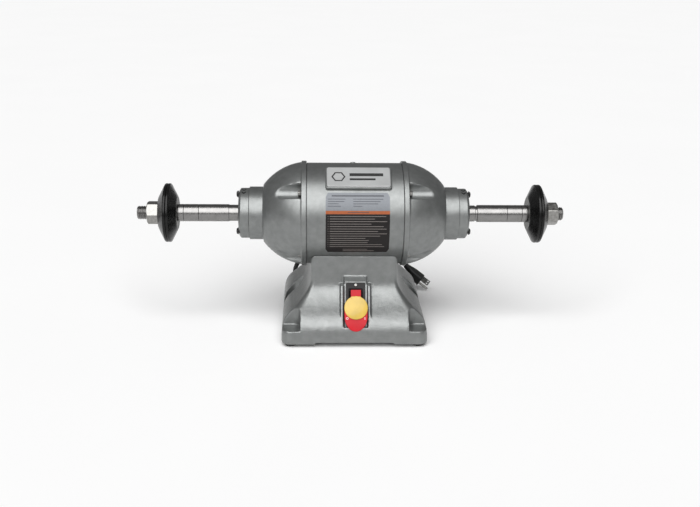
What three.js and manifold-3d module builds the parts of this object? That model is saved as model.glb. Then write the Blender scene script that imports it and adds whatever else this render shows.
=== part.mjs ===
// Double-spindle bench buffer.
// Millimetres, +Z up, +X along the spindle to the right, -Y towards the operator.
// The origin is on the bench, under the middle of the machine.

import * as THREE from 'three';
import { mergeVertices } from 'three/addons/utils/BufferGeometryUtils.js';
import Module from 'manifold-3d';

const wasm = await Module();
wasm.setup();

// ---------------------------------------------------------------- driving dimensions

const gap = 0.3;                       // clearance between touching pieces
const axis_height = 214;               // spindle axis above the bench
const spindle_left = 397.5;            // middle of the machine to the left spindle end
const spindle_right = 390;             // and to the right one

const frame_radius = 93.1;
const frame_bore = 86;
const frame_half = 86.7;               // half length of the motor frame

const rim_radius = 96.6;               // end bell's rim
const rim_end = 96.2;                  // its outer face along the spindle
const dome_radius = 107;               // radius of the dome's arc
const dome_center_x = 80.6;
const dome_center_r = -11.6;
const dome_end = 165.6;                // where the dome meets the neck
const neck_radius = 48.7;
const neck_end = 191.2;
const cap_end = 210.5;
const cap_radius = 46.2;
const cap_screw_circle = 39;
const tie_bolt_circle = 82.5;
const groove_circle = 90;              // middle of the grooves in the dome for the tie bolts
const groove_radius = 14;
const screw_radius = 3;                // shanks of the cap screws and tie bolts
const screw_hole = 3.3;
const tie_bolt_hole = 4;
const bolt_head_radius = 5.6;

const bearing_outer = 31;
const bearing_bore = 15.3;
const bearing_inside_end = 174;
const bearing_width = 16;

const core_half = 38;                  // half length of the stator and rotor cores
const stator_bore = 50;
const rotor_radius = 49.2;
const winding_end = 62;

const shoulder_radius = 15.1;
const shoulder_end = 229;
const relief_groove = 13.6;            // undercut at the right shoulder
const seat_radius = 12.55;             // one inch spindle, carries sleeves and thread
const sleeve_radius = 15.9;
const sleeve_ends = [229.3, 284.8, 312.3, 322.3];
const flange_radius = 54.1;
const flange_hub_radius = 30;
const flange_seam = 340.6;             // where inner and outer flange face each other
const flange_thickness = 17;
const flange_rim = 7.6;
const nut_across_flats = 38.1;
const nut_thickness = 21;

const base_half_width = 131.5;
const base_half_depth = 133;
const base_bottom = 5.8;
const casting_wall = 8;
const shelf_height = 31;               // floor of the notches and scallops
const pedestal_half_width = 78.5;
const pedestal_half_depth = 72;
const pedestal_top = 156;
const foot_offset = 115;
const cover_bottom = 10.7;
const cover_thickness = 2;
const wire_hole = 10;                  // passage for the wires from the base into the frame

const screw_x = -0.8;                  // cap screw on top, a little behind the middle
const screw_angle = THREE.MathUtils.degToRad(117);

const switch_x = 2;
const switch_tilt = THREE.MathUtils.degToRad(28);
const switch_origin = new THREE.Vector3(switch_x, -87, 107.5);
const plate_width = 35;
const plate_height = 80.5;
const plate_screw_drop = 3.6;
const slot_top = 10;                   // the plate's opening, below its top
const slot_bottom = 72;
const key_radius = 21;
const key_drop = 46.6;                 // key centre below the top of the switch plate

const badge_x = 6;
const pad_face = 95.9;                 // face of the badge's pad, from the spindle axis
const badge_angle = THREE.MathUtils.degToRad(57.5);
const data_plate_x = 4;

const cord_radius = 4.5;
const exit_x = -37;
const exit_height = 80;
const relief_start = 100.3;
const relief_end = 132;
const hank_x = 44.5;                   // middle of the hank
const hank_y = 168;
const hank_half_run = 36;              // half of its straight run
const hank_fold = 27;                  // fold radius at the middle of the cord
const hank_bottom = 1.6;
const hank_top = 46.3;

// ---------------------------------------------------------------- materials

function material(colour, roughness, metalness) {
  return new THREE.MeshStandardMaterial({ color: colour, roughness, metalness });
}

const casting_grey = material(0x8b8d8c, 0.55, 0.35);
const bright_steel = material(0xc9c9c7, 0.25, 0.9);
const zinc_steel = material(0xb9b6ae, 0.35, 0.85);
const black_steel = material(0x17181a, 0.3, 0.5);
const core_steel = material(0x5c5f63, 0.5, 0.8);
const copper = material(0xa4562c, 0.4, 0.8);
const rubber = material(0x1b1b1c, 0.85, 0);
const black_plastic = material(0x1f1f21, 0.5, 0);
const red_plastic = material(0xc4122a, 0.35, 0);
const yellow_plastic = material(0xe3cf57, 0.3, 0);
const badge_silver = material(0xc4c6c6, 0.35, 0.6);
const plate_black = material(0x2a2626, 0.4, 0.1);
const capacitor_grey = material(0x9a9da0, 0.4, 0.6);

// ---------------------------------------------------------------- helpers

const model = new THREE.Group();

function add(name, geometry, look, place = new THREE.Vector3()) {
  const mesh = new THREE.Mesh(geometry, look);
  mesh.name = name;
  mesh.position.copy(place);
  model.add(mesh);
  return mesh;
}

// A closed geometry as a solid that can be joined and cut.
function solid(geometry) {
  const plain = geometry.clone();
  plain.deleteAttribute('normal');
  plain.deleteAttribute('uv');
  const merged = mergeVertices(plain, 1e-4);
  const index = merged.index.array;
  const kept = [];
  for (let i = 0; i < index.length; i += 3) {
    const [a, b, c] = [index[i], index[i + 1], index[i + 2]];
    if (a !== b && b !== c && c !== a) {
      kept.push(a, b, c);
    }
  }
  const vertProperties = new Float32Array(merged.attributes.position.array);
  return new wasm.Manifold(new wasm.Mesh({ numProp: 3, vertProperties, triVerts: new Uint32Array(kept) }));
}

function geometryOf(body) {
  const mesh = body.getMesh();
  const geometry = new THREE.BufferGeometry();
  geometry.setAttribute('position', new THREE.BufferAttribute(mesh.vertProperties, 3));
  geometry.setIndex(new THREE.BufferAttribute(mesh.triVerts, 1));
  geometry.computeVertexNormals();
  return geometry;
}

function cut(body, ...tools) {
  return tools.reduce((rest, tool) => rest.subtract(solid(tool)), body);
}

function join(body, ...others) {
  return others.reduce((sum, other) => sum.add(solid(other)), body);
}

// A turned shape about the X axis. The profile holds [x, radius] pairs.
function turned(profile, segments = 28) {
  const points = profile.map(([x, r]) => new THREE.Vector2(r, x));
  if (THREE.ShapeUtils.area(points) < 0) {
    points.reverse();
  }
  return new THREE.LatheGeometry(points, segments).rotateZ(-Math.PI / 2);
}

// The same shape mirrored to the left side of the machine.
function turnedOn(side, profile, segments) {
  return turned(profile.map(([x, r]) => [side * x, r]), segments);
}

function ring(x0, x1, inner, outer, segments) {
  return turned([[x0, inner], [x1, inner], [x1, outer], [x0, outer], [x0, inner]], segments);
}

function rod(x0, x1, radius, segments = 16) {
  return turned([[x0, 0], [x0, radius], [x1, radius], [x1, 0]], segments);
}

// A rod on either side of the machine, between two distances from its middle.
function rodOn(side, near, far, radius, segments) {
  return side > 0 ? rod(near, far, radius, segments) : rod(-far, -near, radius, segments);
}

// A block from one corner to the opposite one.
function block(x0, y0, z0, x1, y1, z1) {
  return new THREE.BoxGeometry(x1 - x0, y1 - y0, z1 - z0)
    .translate((x0 + x1) / 2, (y0 + y1) / 2, (z0 + z1) / 2);
}

function upright(x, y, z0, z1, radius, segments = 24) {
  return new THREE.CylinderGeometry(radius, radius, z1 - z0, segments)
    .rotateX(Math.PI / 2).translate(x, y, (z0 + z1) / 2);
}

function roundedShape(width, height, radius, cx = 0, cy = 0) {
  const shape = new THREE.Shape();
  const [a, b] = [width / 2, height / 2];
  shape.moveTo(cx - a + radius, cy - b);
  shape.lineTo(cx + a - radius, cy - b);
  shape.absarc(cx + a - radius, cy - b + radius, radius, -Math.PI / 2, 0);
  shape.lineTo(cx + a, cy + b - radius);
  shape.absarc(cx + a - radius, cy + b - radius, radius, 0, Math.PI / 2);
  shape.lineTo(cx - a + radius, cy + b);
  shape.absarc(cx - a + radius, cy + b - radius, radius, Math.PI / 2, Math.PI);
  shape.lineTo(cx - a, cy - b + radius);
  shape.absarc(cx - a + radius, cy - b + radius, radius, Math.PI, Math.PI * 1.5);
  return shape;
}

function extruded(shape, depth, curveSegments = 6) {
  return new THREE.ExtrudeGeometry(shape, { depth, bevelEnabled: false, curveSegments, steps: 1 });
}

// Where a point at an angle round the spindle lies. 0 faces the operator, 90 is on top.
function around(angle, radius) {
  return new THREE.Vector3(0, -radius * Math.cos(angle), radius * Math.sin(angle));
}

const spindle = new THREE.Vector3(0, 0, axis_height);

// ---------------------------------------------------------------- base casting

// Half width and half depth of the pedestal at each height: straight at the top, a hollow
// sweep outwards, then a round shoulder down to the upright edge.
function flareProfile() {
  const path = new THREE.Path();
  path.moveTo(0, 112);
  path.bezierCurveTo(0, 94, 0.14, 84, 0.38, 71);
  path.bezierCurveTo(0.62, 58, 0.93, 50, 0.985, 28);
  return path.getPoints(4);
}

// The sides and the back sweep out sooner than the front corners do.
function baseRing(flare, z, inset, corner_steps) {
  const wide = Math.pow(flare, 0.6);
  const spread = base_half_width - pedestal_half_width;
  const halfWidth = pedestal_half_width + wide * spread - inset;
  const narrowing = (wide - flare) * spread / halfWidth;
  const front = pedestal_half_depth + flare * (base_half_depth - pedestal_half_depth) - inset;
  const back = pedestal_half_depth + wide * (base_half_depth - pedestal_half_depth) - inset;
  const corner = Math.max(8 + 8 * flare - inset, 3);
  const outline = roundedShape(2 * halfWidth, front + back, corner).getPoints(corner_steps);
  return outline.slice(0, -1).map((p) => {
    const y = p.y + (back - front) / 2;
    const ahead = Math.max(-y / front, 0);
    return new THREE.Vector3(p.x * (1 - narrowing * ahead), y, z);
  });
}

// Joins a stack of rings of equal length, lowest first, into one closed body.
function loft(rings) {
  const count = rings[0].length;
  const vertices = rings.flat();
  const triangles = [];
  for (let level = 0; level < rings.length - 1; level++) {
    for (let i = 0; i < count; i++) {
      const next = (i + 1) % count;
      const [a, b] = [level * count + i, level * count + next];
      triangles.push(a, b, b + count, a, b + count, a + count);
    }
  }
  const top = (rings.length - 1) * count;
  for (let i = 1; i < count - 1; i++) {
    triangles.push(0, i + 1, i, top, top + i, top + i + 1);
  }
  const geometry = new THREE.BufferGeometry().setFromPoints(vertices);
  geometry.setIndex(triangles);
  return geometry;
}

function pedestal(inset, bottom, top, corner_steps) {
  const shoulder = 22;
  const flared = flareProfile().reverse();
  const levels = [{ x: 1, y: bottom }, { x: 1, y: shoulder }, ...flared, { x: 0, y: top - 4 }];
  const rings = levels.map((level) => baseRing(level.x, level.y, inset, corner_steps));
  return loft([...rings, baseRing(0, top, inset + 2, corner_steps)]);
}

// The bolt-down notch at a front corner, cut straight down to the shelf. With a margin it is the
// block of metal that the casting keeps round the notch.
function cornerNotch(side, margin = 0) {
  const [inner, back, radius] = [98 - margin, -96.5 + margin, 14 + margin];
  const [outside, height] = [150, 100];
  const shape = new THREE.Shape();
  shape.moveTo(inner, -outside);
  shape.lineTo(outside, -outside);
  shape.lineTo(outside, back);
  shape.lineTo(inner + radius, back);
  shape.absarc(inner + radius, back - radius, radius, Math.PI / 2, Math.PI);
  const outline = shape.getPoints(5).map((p) => new THREE.Vector2(side * p.x, p.y));
  return extruded(new THREE.Shape(outline), height).translate(0, 0, shelf_height - margin);
}

// A round scallop down to the shelf behind the middle of each side.
function sideScallop(side, margin = 0) {
  return upright(side * 114, 19, shelf_height - margin, shelf_height + 100, 20 + margin);
}

// The switch's own frame: x to the right, y into the base, z up along the face plate.
function placeOnSwitch(geometry) {
  return geometry.rotateX(-switch_tilt).translate(...switch_origin.toArray());
}

// The raised surround of the switch, standing out of the hollow front.
function switchSurround() {
  const section = [[-89.6, 108.9], [-129.3, 34.5], [-100, 30], [-55, 85], [-55, 124.5]];
  const shape = new THREE.Shape(section.map(([y, z]) => new THREE.Vector2(y, z)));
  const width = 54;
  return extruded(shape, width)
    .rotateX(Math.PI / 2).rotateZ(Math.PI / 2)
    .translate(switch_x - width / 2, 0, 0);
}

function baseCasting() {
  const floor = base_bottom - 1;
  const arch = 71;                       // half width of the low arch in each bottom edge
  const arch_top = base_bottom + 4;
  let body = join(solid(pedestal(0, base_bottom, pedestal_top, 3)), switchSurround());
  const boss_face = 100;                 // the spot-faced pad that the strain relief sits against
  const boss = new THREE.CylinderGeometry(15, 17, 60, 24).translate(exit_x, boss_face - 30, exit_height);
  body = join(body, boss);
  const kept = casting_wall - 1;
  const hollow = cut(
    solid(pedestal(casting_wall, floor, 112, 1)),
    cornerNotch(-1, kept), cornerNotch(1, kept), sideScallop(-1, kept), sideScallop(1, kept),
  );
  body = cut(
    body.subtract(hollow),
    block(-119, -120, floor, 119, 120, 13),
    rod(-150, 150, frame_radius + gap, 60).translate(0, 0, axis_height),
    cornerNotch(-1),
    cornerNotch(1),
    sideScallop(-1),
    sideScallop(1),
    block(-arch, -150, floor, arch, 150, arch_top),
    block(-150, -arch, floor, 150, arch, arch_top),
    upright(0, 0, 100, 140, wire_hole, 16),
  );
  body = cut(
    body,
    placeOnSwitch(block(-21.8, -6, -plate_height - 0.5, 21.8, 2, 0.5)),
    placeOnSwitch(block(-15.2, 0, -69, 15.2, 60, -11)),
    placeOnSwitch(new THREE.CylinderGeometry(1.9, 1.9, 16, 12).translate(0, 6, -plate_screw_drop)),
    new THREE.CylinderGeometry(8.6, 8.6, 60, 20).translate(exit_x, 85, exit_height),
    new THREE.CylinderGeometry(15, 15, 60, 24).translate(exit_x, boss_face + 30, exit_height),
  );
  return geometryOf(body);
}

function addBase() {
  add('base_casting', baseCasting(), casting_grey);
  const cover = extruded(roundedShape(237, 239, 4), cover_thickness, 3).translate(0, 0, cover_bottom);
  add('base_cover', cover, casting_grey);
  for (const [name, sx, sy] of [
    ['foot_front_left', -1, -1],
    ['foot_front_right', 1, -1],
    ['foot_rear_left', -1, 1],
    ['foot_rear_right', 1, 1],
  ]) {
    const pad = upright(sx * foot_offset, sy * foot_offset, 0, base_bottom - gap, 12, 16);
    add(name, pad, rubber);
  }
  const can = upright(50, 40, cover_bottom + cover_thickness + gap, 75, 20, 24);
  add('run_capacitor', can, capacitor_grey);
}

// ---------------------------------------------------------------- switch

function addSwitch() {
  const slot_half = 12.5;
  let plate = solid(block(-plate_width / 2, 0, -plate_height, plate_width / 2, 1.7, 0));
  plate = cut(
    plate,
    block(-slot_half, -1, -slot_bottom, slot_half, 3, -slot_top),
    new THREE.CylinderGeometry(1.9, 1.9, 6, 12).translate(0, 0, -plate_screw_drop),
  );
  add('switch_plate', placeOnSwitch(geometryOf(plate)), black_plastic);

  let body = solid(block(-14.5, 2.3, -68.3, 14.5, 40, -11.7));
  body = cut(body, block(-11, 1, -66, 11, 12, -13));
  add('switch_body', placeOnSwitch(geometryOf(body)), black_plastic);

  const head = new THREE.CylinderGeometry(3, 2.4, 1.4, 16)
    .rotateX(Math.PI).translate(0, -1, -plate_screw_drop);
  const shank = new THREE.CylinderGeometry(1.5, 1.5, 9, 12).translate(0, 4, -plate_screw_drop);
  const screw = join(solid(head), shank);
  add('switch_screw', placeOnSwitch(geometryOf(screw)), zinc_steel);

  add('switch_paddle', placeOnSwitch(paddle()), red_plastic);
  add('safety_key', placeOnSwitch(key()), yellow_plastic);
}

// The paddle hangs from a narrow neck that turns in the plate's slot.
function paddle() {
  const bib = new THREE.Shape();
  bib.moveTo(-9, -18);
  bib.lineTo(-9, -28);
  bib.lineTo(-20.8, -40);
  bib.lineTo(-20.8, -62);
  bib.quadraticCurveTo(-20.8, -88.5, 0, -88.5);
  bib.quadraticCurveTo(20.8, -88.5, 20.8, -62);
  bib.lineTo(20.8, -40);
  bib.lineTo(9, -28);
  bib.lineTo(9, -18);
  const front = extruded(bib, 8, 8).rotateX(Math.PI / 2).translate(0, -4, 0);
  const hinge = block(-9, -12, -20, 9, 9, -14);
  const lip = block(-30, -20, -100, 30, 0, -50)
    .rotateX(-0.48).translate(0, -13, -10);
  let body = join(solid(front), hinge);
  body = cut(
    body,
    lip,
    block(-4.4, -20, -key_drop - 2.9, 4.4, -5.5, -key_drop + 2.9),
  );
  return geometryOf(body);
}

// A domed disc with a tab on top and a tongue that goes into the paddle.
function key() {
  const front = -12.3;
  const dome = [[0, 0], [0, key_radius], [1.8, key_radius], [3.6, key_radius - 2.4], [4.6, 11], [4.6, 0]];
  const disc = turned(dome, 32).rotateZ(-Math.PI / 2).translate(0, front, -key_drop);
  const tab = block(-9, front - 3, -40, 9, front, -27);
  const tongue = block(-4, front - 1, -key_drop - 2.5, 4, -6, -key_drop + 2.5);
  return geometryOf(join(solid(disc), tab, tongue));
}

// ---------------------------------------------------------------- motor frame

// Turns a block built on the X axis to an angle round the spindle, its +Z outwards.
function placeOnFrame(geometry, angle) {
  return geometry.rotateX(Math.PI / 2 - angle).translate(0, 0, axis_height);
}

function motorFrame() {
  const pad = extruded(roundedShape(118.5, 52, 5, badge_x, 0), 11, 4).translate(0, 0, pad_face - 11);
  const shell = ring(-frame_half, frame_half, frame_bore, frame_radius, 60).translate(0, 0, axis_height);
  let body = join(solid(shell), placeOnFrame(pad, badge_angle));
  body = cut(
    body,
    rod(-60, 80, frame_bore, 60).translate(0, 0, axis_height),
    placeOnFrame(upright(screw_x, 0, 80, 100, screw_hole, 12), screw_angle),
    upright(0, 0, 110, 140, wire_hole, 16),
  );
  return geometryOf(body);
}

// The data plate is a thin sheet bent round the frame.
function dataPlate() {
  const [low, high] = [-32, 38.5].map(THREE.MathUtils.degToRad);
  const [inner, outer] = [frame_radius + gap, frame_radius + 1];
  const shape = new THREE.Shape();
  shape.absarc(0, 0, outer, low, high, false);
  shape.absarc(0, 0, inner, high, low, true);
  const width = 113.5;
  return extruded(shape, width, 16)
    .rotateX(Math.PI / 2).rotateZ(-Math.PI / 2)
    .translate(data_plate_x + width / 2, 0, axis_height);
}

function addFrame() {
  add('motor_frame', motorFrame(), casting_grey);
  const badge = extruded(roundedShape(113, 46.5, 4, badge_x, 0), 1.2, 4).translate(0, 0, pad_face + gap);
  add('badge_plate', placeOnFrame(badge, badge_angle), badge_silver);
  add('data_plate', dataPlate(), plate_black);

  const head = upright(screw_x, 0, frame_radius + gap, frame_radius + 3.5, 5.5, 16);
  const screw = join(solid(head), upright(screw_x, 0, 87, frame_radius + 1, screw_radius, 12));
  add('top_screw', placeOnFrame(geometryOf(screw), screw_angle), casting_grey);
}

// ---------------------------------------------------------------- end bells

function domeArc(steps) {
  const arc = [];
  const start = Math.asin((rim_end - dome_center_x) / dome_radius);
  const end = Math.asin((dome_end - dome_center_x) / dome_radius);
  for (let i = 0; i <= steps; i++) {
    const angle = THREE.MathUtils.lerp(start, end, i / steps);
    arc.push([dome_center_x + dome_radius * Math.sin(angle), dome_center_r + dome_radius * Math.cos(angle)]);
  }
  return arc;
}

function tieBoltAngles() {
  return [41, 131, 221, 311].map(THREE.MathUtils.degToRad);
}

function capScrewAngles() {
  return [78, 198, 318].map(THREE.MathUtils.degToRad);
}

function endBell(side) {
  const face = frame_half + gap;
  const seat = bearing_outer + gap;
  const [register, shaft_hole] = [72, 27];
  const outside = [[face, rim_radius], [rim_end, rim_radius], ...domeArc(5)];
  const neck = [
    [dome_end + 1, neck_radius + 1], [dome_end + 2.4, neck_radius], [neck_end - 1.5, neck_radius],
  ];
  const end = [[neck_end, neck_radius - 1.5], [neck_end, seat], [bearing_inside_end - gap, seat]];
  const hollow = [
    [bearing_inside_end - gap, shaft_hole], [167, shaft_hole], [150, 58], [120, register], [face, register],
  ];
  const profile = [...outside, ...neck, ...end, ...hollow, [face, rim_radius]];
  let bell = solid(turnedOn(side, profile, 32));
  for (const angle of tieBoltAngles()) {
    const [grooveAt, holeAt] = [around(angle, groove_circle), around(angle, tie_bolt_circle)];
    const groove = rodOn(side, rim_end, 150, groove_radius, 14).translate(0, grooveAt.y, grooveAt.z);
    const hole = rodOn(side, 80, 100, tie_bolt_hole, 6).translate(0, holeAt.y, holeAt.z);
    bell = cut(bell, groove, hole);
  }
  for (const angle of capScrewAngles()) {
    const at = around(angle, cap_screw_circle);
    bell = cut(bell, rodOn(side, 176, 195, screw_hole, 8).translate(0, at.y, at.z));
  }
  return geometryOf(bell).translate(0, 0, axis_height);
}

function bearingCap(side) {
  const start = neck_end + gap;
  const profile = [
    [start, shoulder_radius + 1], [start, cap_radius - 0.8], [start + 0.8, cap_radius],
    [cap_end - 5, cap_radius], [cap_end - 1.5, cap_radius - 2], [cap_end, cap_radius - 5.5],
    [cap_end, shoulder_radius + 1], [start, shoulder_radius + 1],
  ];
  let cap = solid(turnedOn(side, profile, 28));
  for (const angle of capScrewAngles()) {
    const at = around(angle, cap_screw_circle);
    cap = cut(cap, rodOn(side, start - 1, cap_end + 1, screw_hole, 8).translate(0, at.y, at.z));
  }
  return geometryOf(cap).translate(0, 0, axis_height);
}

// A button head on a shank that stops short of the blind hole's end.
function capScrew(side) {
  const head_height = 4;
  const start = cap_end + gap;
  return turnedOn(side, [
    [177, 0], [177, screw_radius], [start, screw_radius], [start, 6.3], [start + 1.6, 6.1],
    [start + head_height, 3.6], [start + head_height, 0],
  ], 10);
}

// A long rod through both bells with a hexagon head at each end.
function tieBolt() {
  const head_start = rim_end + gap;
  const head_end = rim_end + 6;
  const shank = rod(-head_start - 1, head_start + 1, screw_radius, 8);
  const heads = [[-head_end, -head_start], [head_start, head_end]];
  return geometryOf(join(solid(shank), ...heads.map(([x0, x1]) => rod(x0, x1, bolt_head_radius, 6))));
}

function addBells() {
  for (const [name, side] of [['left', -1], ['right', 1]]) {
    add(`end_bell_${name}`, endBell(side), casting_grey);
    add(`bearing_cap_${name}`, bearingCap(side), casting_grey);
    capScrewAngles().forEach((angle, i) => {
      const at = around(angle, cap_screw_circle).add(spindle);
      add(`cap_screw_${name}_${i + 1}`, capScrew(side), black_steel, at);
    });
  }
  tieBoltAngles().forEach((angle, i) => {
    add(`tie_bolt_${i + 1}`, tieBolt(), zinc_steel, around(angle, tie_bolt_circle).add(spindle));
  });
}

// ---------------------------------------------------------------- bearings and motor

const ball_circle = (bearing_bore + bearing_outer) / 2;
const ball_radius = 4;
const ball_count = 8;

// Half the groove that the balls run in, from one face of the race to the other.
function raceGroove(outer) {
  const middle = bearing_inside_end + bearing_width / 2;
  const groove = ball_radius + 1;
  const sign = outer ? 1 : -1;
  return [-50, 0, 50].map((degrees) => {
    const angle = THREE.MathUtils.degToRad(degrees);
    return [middle + groove * Math.sin(angle), ball_circle + sign * groove * Math.cos(angle)];
  });
}

function bearingRace(side, outer) {
  const start = bearing_inside_end;
  const end = start + bearing_width;
  const wall = outer ? bearing_outer : bearing_bore;
  const edge = ball_circle + (outer ? 3 : -3);
  const profile = [
    [start, wall], [start, edge], ...raceGroove(outer), [end, edge], [end, wall], [start, wall],
  ];
  return turnedOn(side, profile, 24).translate(0, 0, axis_height);
}

// The balls, held in one piece by their cage.
function ballCage(side) {
  const middle = side * (bearing_inside_end + bearing_width / 2);
  let cage = solid(ring(middle - 5.5, middle + 5.5, ball_circle - 1.1, ball_circle + 1.1, 16));
  for (let i = 0; i < ball_count; i++) {
    const at = around((2 * Math.PI * (i + 0.5)) / ball_count, ball_circle);
    const ball = new THREE.SphereGeometry(ball_radius, 6, 4).translate(middle, at.y, at.z);
    cage = join(cage, ball);
  }
  return geometryOf(cage).translate(0, 0, axis_height);
}

function statorCore() {
  let core = solid(ring(-core_half, core_half, stator_bore, frame_bore - gap, 36));
  for (const angle of tieBoltAngles()) {
    const at = around(angle, tie_bolt_circle + 1);
    core = cut(core, rod(-core_half - 2, core_half + 2, 5, 8).translate(0, at.y, at.z));
  }
  return geometryOf(core).translate(0, 0, axis_height);
}

function winding(side) {
  const [start, end] = [core_half + gap, winding_end];
  return turnedOn(side, [
    [start, 54], [start, 74], [end - 6, 74], [end, 69], [end, 58], [end - 5, 54], [start, 54],
  ], 20).translate(0, 0, axis_height);
}

function shaft() {
  const stop = bearing_inside_end - gap;
  const core_seat = 17;
  const bearing_seat = bearing_bore - gap;
  const right = [
    [stop, core_seat], [stop, bearing_seat], [shoulder_end - 4, bearing_seat],
    [shoulder_end - 4, relief_groove], [shoulder_end, relief_groove], [shoulder_end, seat_radius],
    [spindle_right - 1.5, seat_radius], [spindle_right, seat_radius - 1.5], [spindle_right, 0],
  ];
  const left = [
    [-spindle_left, 0], [-spindle_left, seat_radius - 1.5], [-spindle_left + 1.5, seat_radius],
    [-shoulder_end, seat_radius], [-shoulder_end, bearing_seat], [-stop, bearing_seat], [-stop, core_seat],
  ];
  return turned([...left, ...right], 24).translate(0, 0, axis_height);
}

function addMotor() {
  for (const [name, side] of [['left', -1], ['right', 1]]) {
    add(`bearing_outer_race_${name}`, bearingRace(side, true), bright_steel);
    add(`bearing_inner_race_${name}`, bearingRace(side, false), bright_steel);
    add(`bearing_balls_${name}`, ballCage(side), bright_steel);
    add(`stator_winding_${name}`, winding(side), copper);
  }
  add('stator_core', statorCore(), core_steel);
  const rotor = ring(-core_half, core_half, 17 + gap, rotor_radius, 28).translate(0, 0, axis_height);
  add('rotor_core', rotor, core_steel);
  add('shaft', shaft(), bright_steel);
}

// ---------------------------------------------------------------- spindle fittings

function sleeve(side, start, end) {
  const bore = seat_radius + gap;
  return turnedOn(side, [
    [start, bore], [start, sleeve_radius], [end, sleeve_radius], [end, bore], [start, bore],
  ], 24).translate(0, 0, axis_height);
}

// A dished clamping flange. Its rim is at the seam and its hub face looks away from it.
function flange(side, away) {
  const bore = seat_radius + gap;
  const x = (distance) => flange_seam + away * (gap / 2 + distance);
  return turnedOn(side, [
    [x(0), bore], [x(0), flange_radius], [x(flange_rim), flange_radius],
    [x(flange_thickness - 1), flange_hub_radius + 3], [x(flange_thickness), flange_hub_radius],
    [x(flange_thickness), bore], [x(0), bore],
  ], 32).translate(0, 0, axis_height);
}

// A hexagon nut with a chamfered outer face, turned about the spindle.
function nut(side, turn) {
  const start = flange_seam + flange_thickness + 2 * gap;
  const end = start + nut_thickness;
  const corner = nut_across_flats / Math.sqrt(3);
  const blank = turnedOn(side, [
    [start, 0], [start, corner - 1], [start + 1.2, corner + 0.5],
    [end - 2.2, corner + 0.5], [end, corner - 2.8], [end, 0],
  ], 24);
  const hexagon = turnedOn(side, [[start - 1, 0], [start - 1, corner], [end + 1, corner], [end + 1, 0]], 6);
  const hole = turnedOn(side, [
    [start - 2, 0], [start - 2, seat_radius + gap], [end + 2, seat_radius + gap], [end + 2, 0],
  ], 24);
  const body = solid(blank).intersect(solid(hexagon.rotateX(turn))).subtract(solid(hole));
  return geometryOf(body).translate(0, 0, axis_height);
}

function addSpindleFittings() {
  const nut_turns = { left: Math.PI / 6, right: 0 };
  for (const [name, side] of [['left', -1], ['right', 1]]) {
    for (let i = 0; i < 3; i++) {
      const start = sleeve_ends[i] + (i > 0 ? gap / 2 : 0);
      const end = sleeve_ends[i + 1] - gap / 2;
      add(`spacer_sleeve_${name}_${i + 1}`, sleeve(side, start, end), bright_steel);
    }
    add(`inner_flange_${name}`, flange(side, -1), black_steel);
    add(`outer_flange_${name}`, flange(side, 1), black_steel);
    add(`arbor_nut_${name}`, nut(side, nut_turns[name]), zinc_steel);
  }
}

// ---------------------------------------------------------------- power cord

function cordTube(points) {
  const section = new THREE.Shape();
  section.absarc(0, 0, cord_radius, 0, 2 * Math.PI);
  const path = new THREE.CatmullRomCurve3(points.map((p) => new THREE.Vector3(...p)));
  const steps = Math.ceil(path.getLength() / (4 * cord_radius));
  return new THREE.ExtrudeGeometry(section, { steps, curveSegments: 5, extrudePath: path });
}

// From the strain relief in a falling loop to the bench and on to the hank.
const lead_route = [
  [-37, 132.4, 80],
  [-37.6, 143, 80],
  [-41.5, 155, 79.6],
  [-50, 165, 79],
  [-62, 170, 78.3],
  [-75, 171, 77.5],
  [-89, 171, 74],
  [-101, 171, 65.8],
  [-109.5, 171, 52.5],
  [-111.8, 171, 38.5],
  [-108, 171.2, 24],
  [-99, 171.8, 12.5],
  [-87, 173, 6.2],
  [-74, 175, 4.9],
  [-60, 178, 4.9],
  [-46, 182, 4.9],
  [-32, 186.4, 4.9],
  [-19.5, 190, 5],
];

// From the top of the hank over its end to the plug, which leans on the bench.
const tail_route = [
  [8.5, 195, 51.2],
  [26, 195.1, 52.2],
  [44, 195.2, 53.7],
  [62, 195.2, 55.4],
  [80, 194.6, 56.9],
  [96.8, 191.7, 57.5],
  [106, 188.4, 56.1],
  [112.4, 186.1, 53.5],
  [115.7, 184.9, 51.6],
];

function strainRelief() {
  const length = relief_end - relief_start;
  const profile = [
    [-18, 0], [-18, 8.2], [0, 8.2], [0, 11], [5, 11], [6, 8], [length, 6.2], [length, 0],
  ];
  return turned(profile, 20).rotateZ(Math.PI / 2).translate(exit_x, relief_start, exit_height);
}

function hank() {
  const reach = hank_half_run + hank_fold + cord_radius;
  const width = 2 * (hank_fold + cord_radius);
  const outline = roundedShape(2 * reach, width, width / 2 - 0.01, hank_x, hank_y);
  return extruded(outline, hank_top - hank_bottom, 10).translate(0, 0, hank_bottom);
}

// A strap round the middle of the hank.
function cordTie() {
  const strap = 1;
  const half_width = hank_fold + cord_radius + gap;
  const [x0, x1] = [hank_x - 6, hank_x + 6];
  const [low, high] = [hank_bottom - gap, hank_top + gap];
  const outer = half_width + strap;
  const outside = block(x0, hank_y - outer, low - strap, x1, hank_y + outer, high + strap);
  const inside = block(x0 - 1, hank_y - half_width, low, x1 + 1, hank_y + half_width, high);
  return geometryOf(cut(solid(outside), inside));
}

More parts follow.
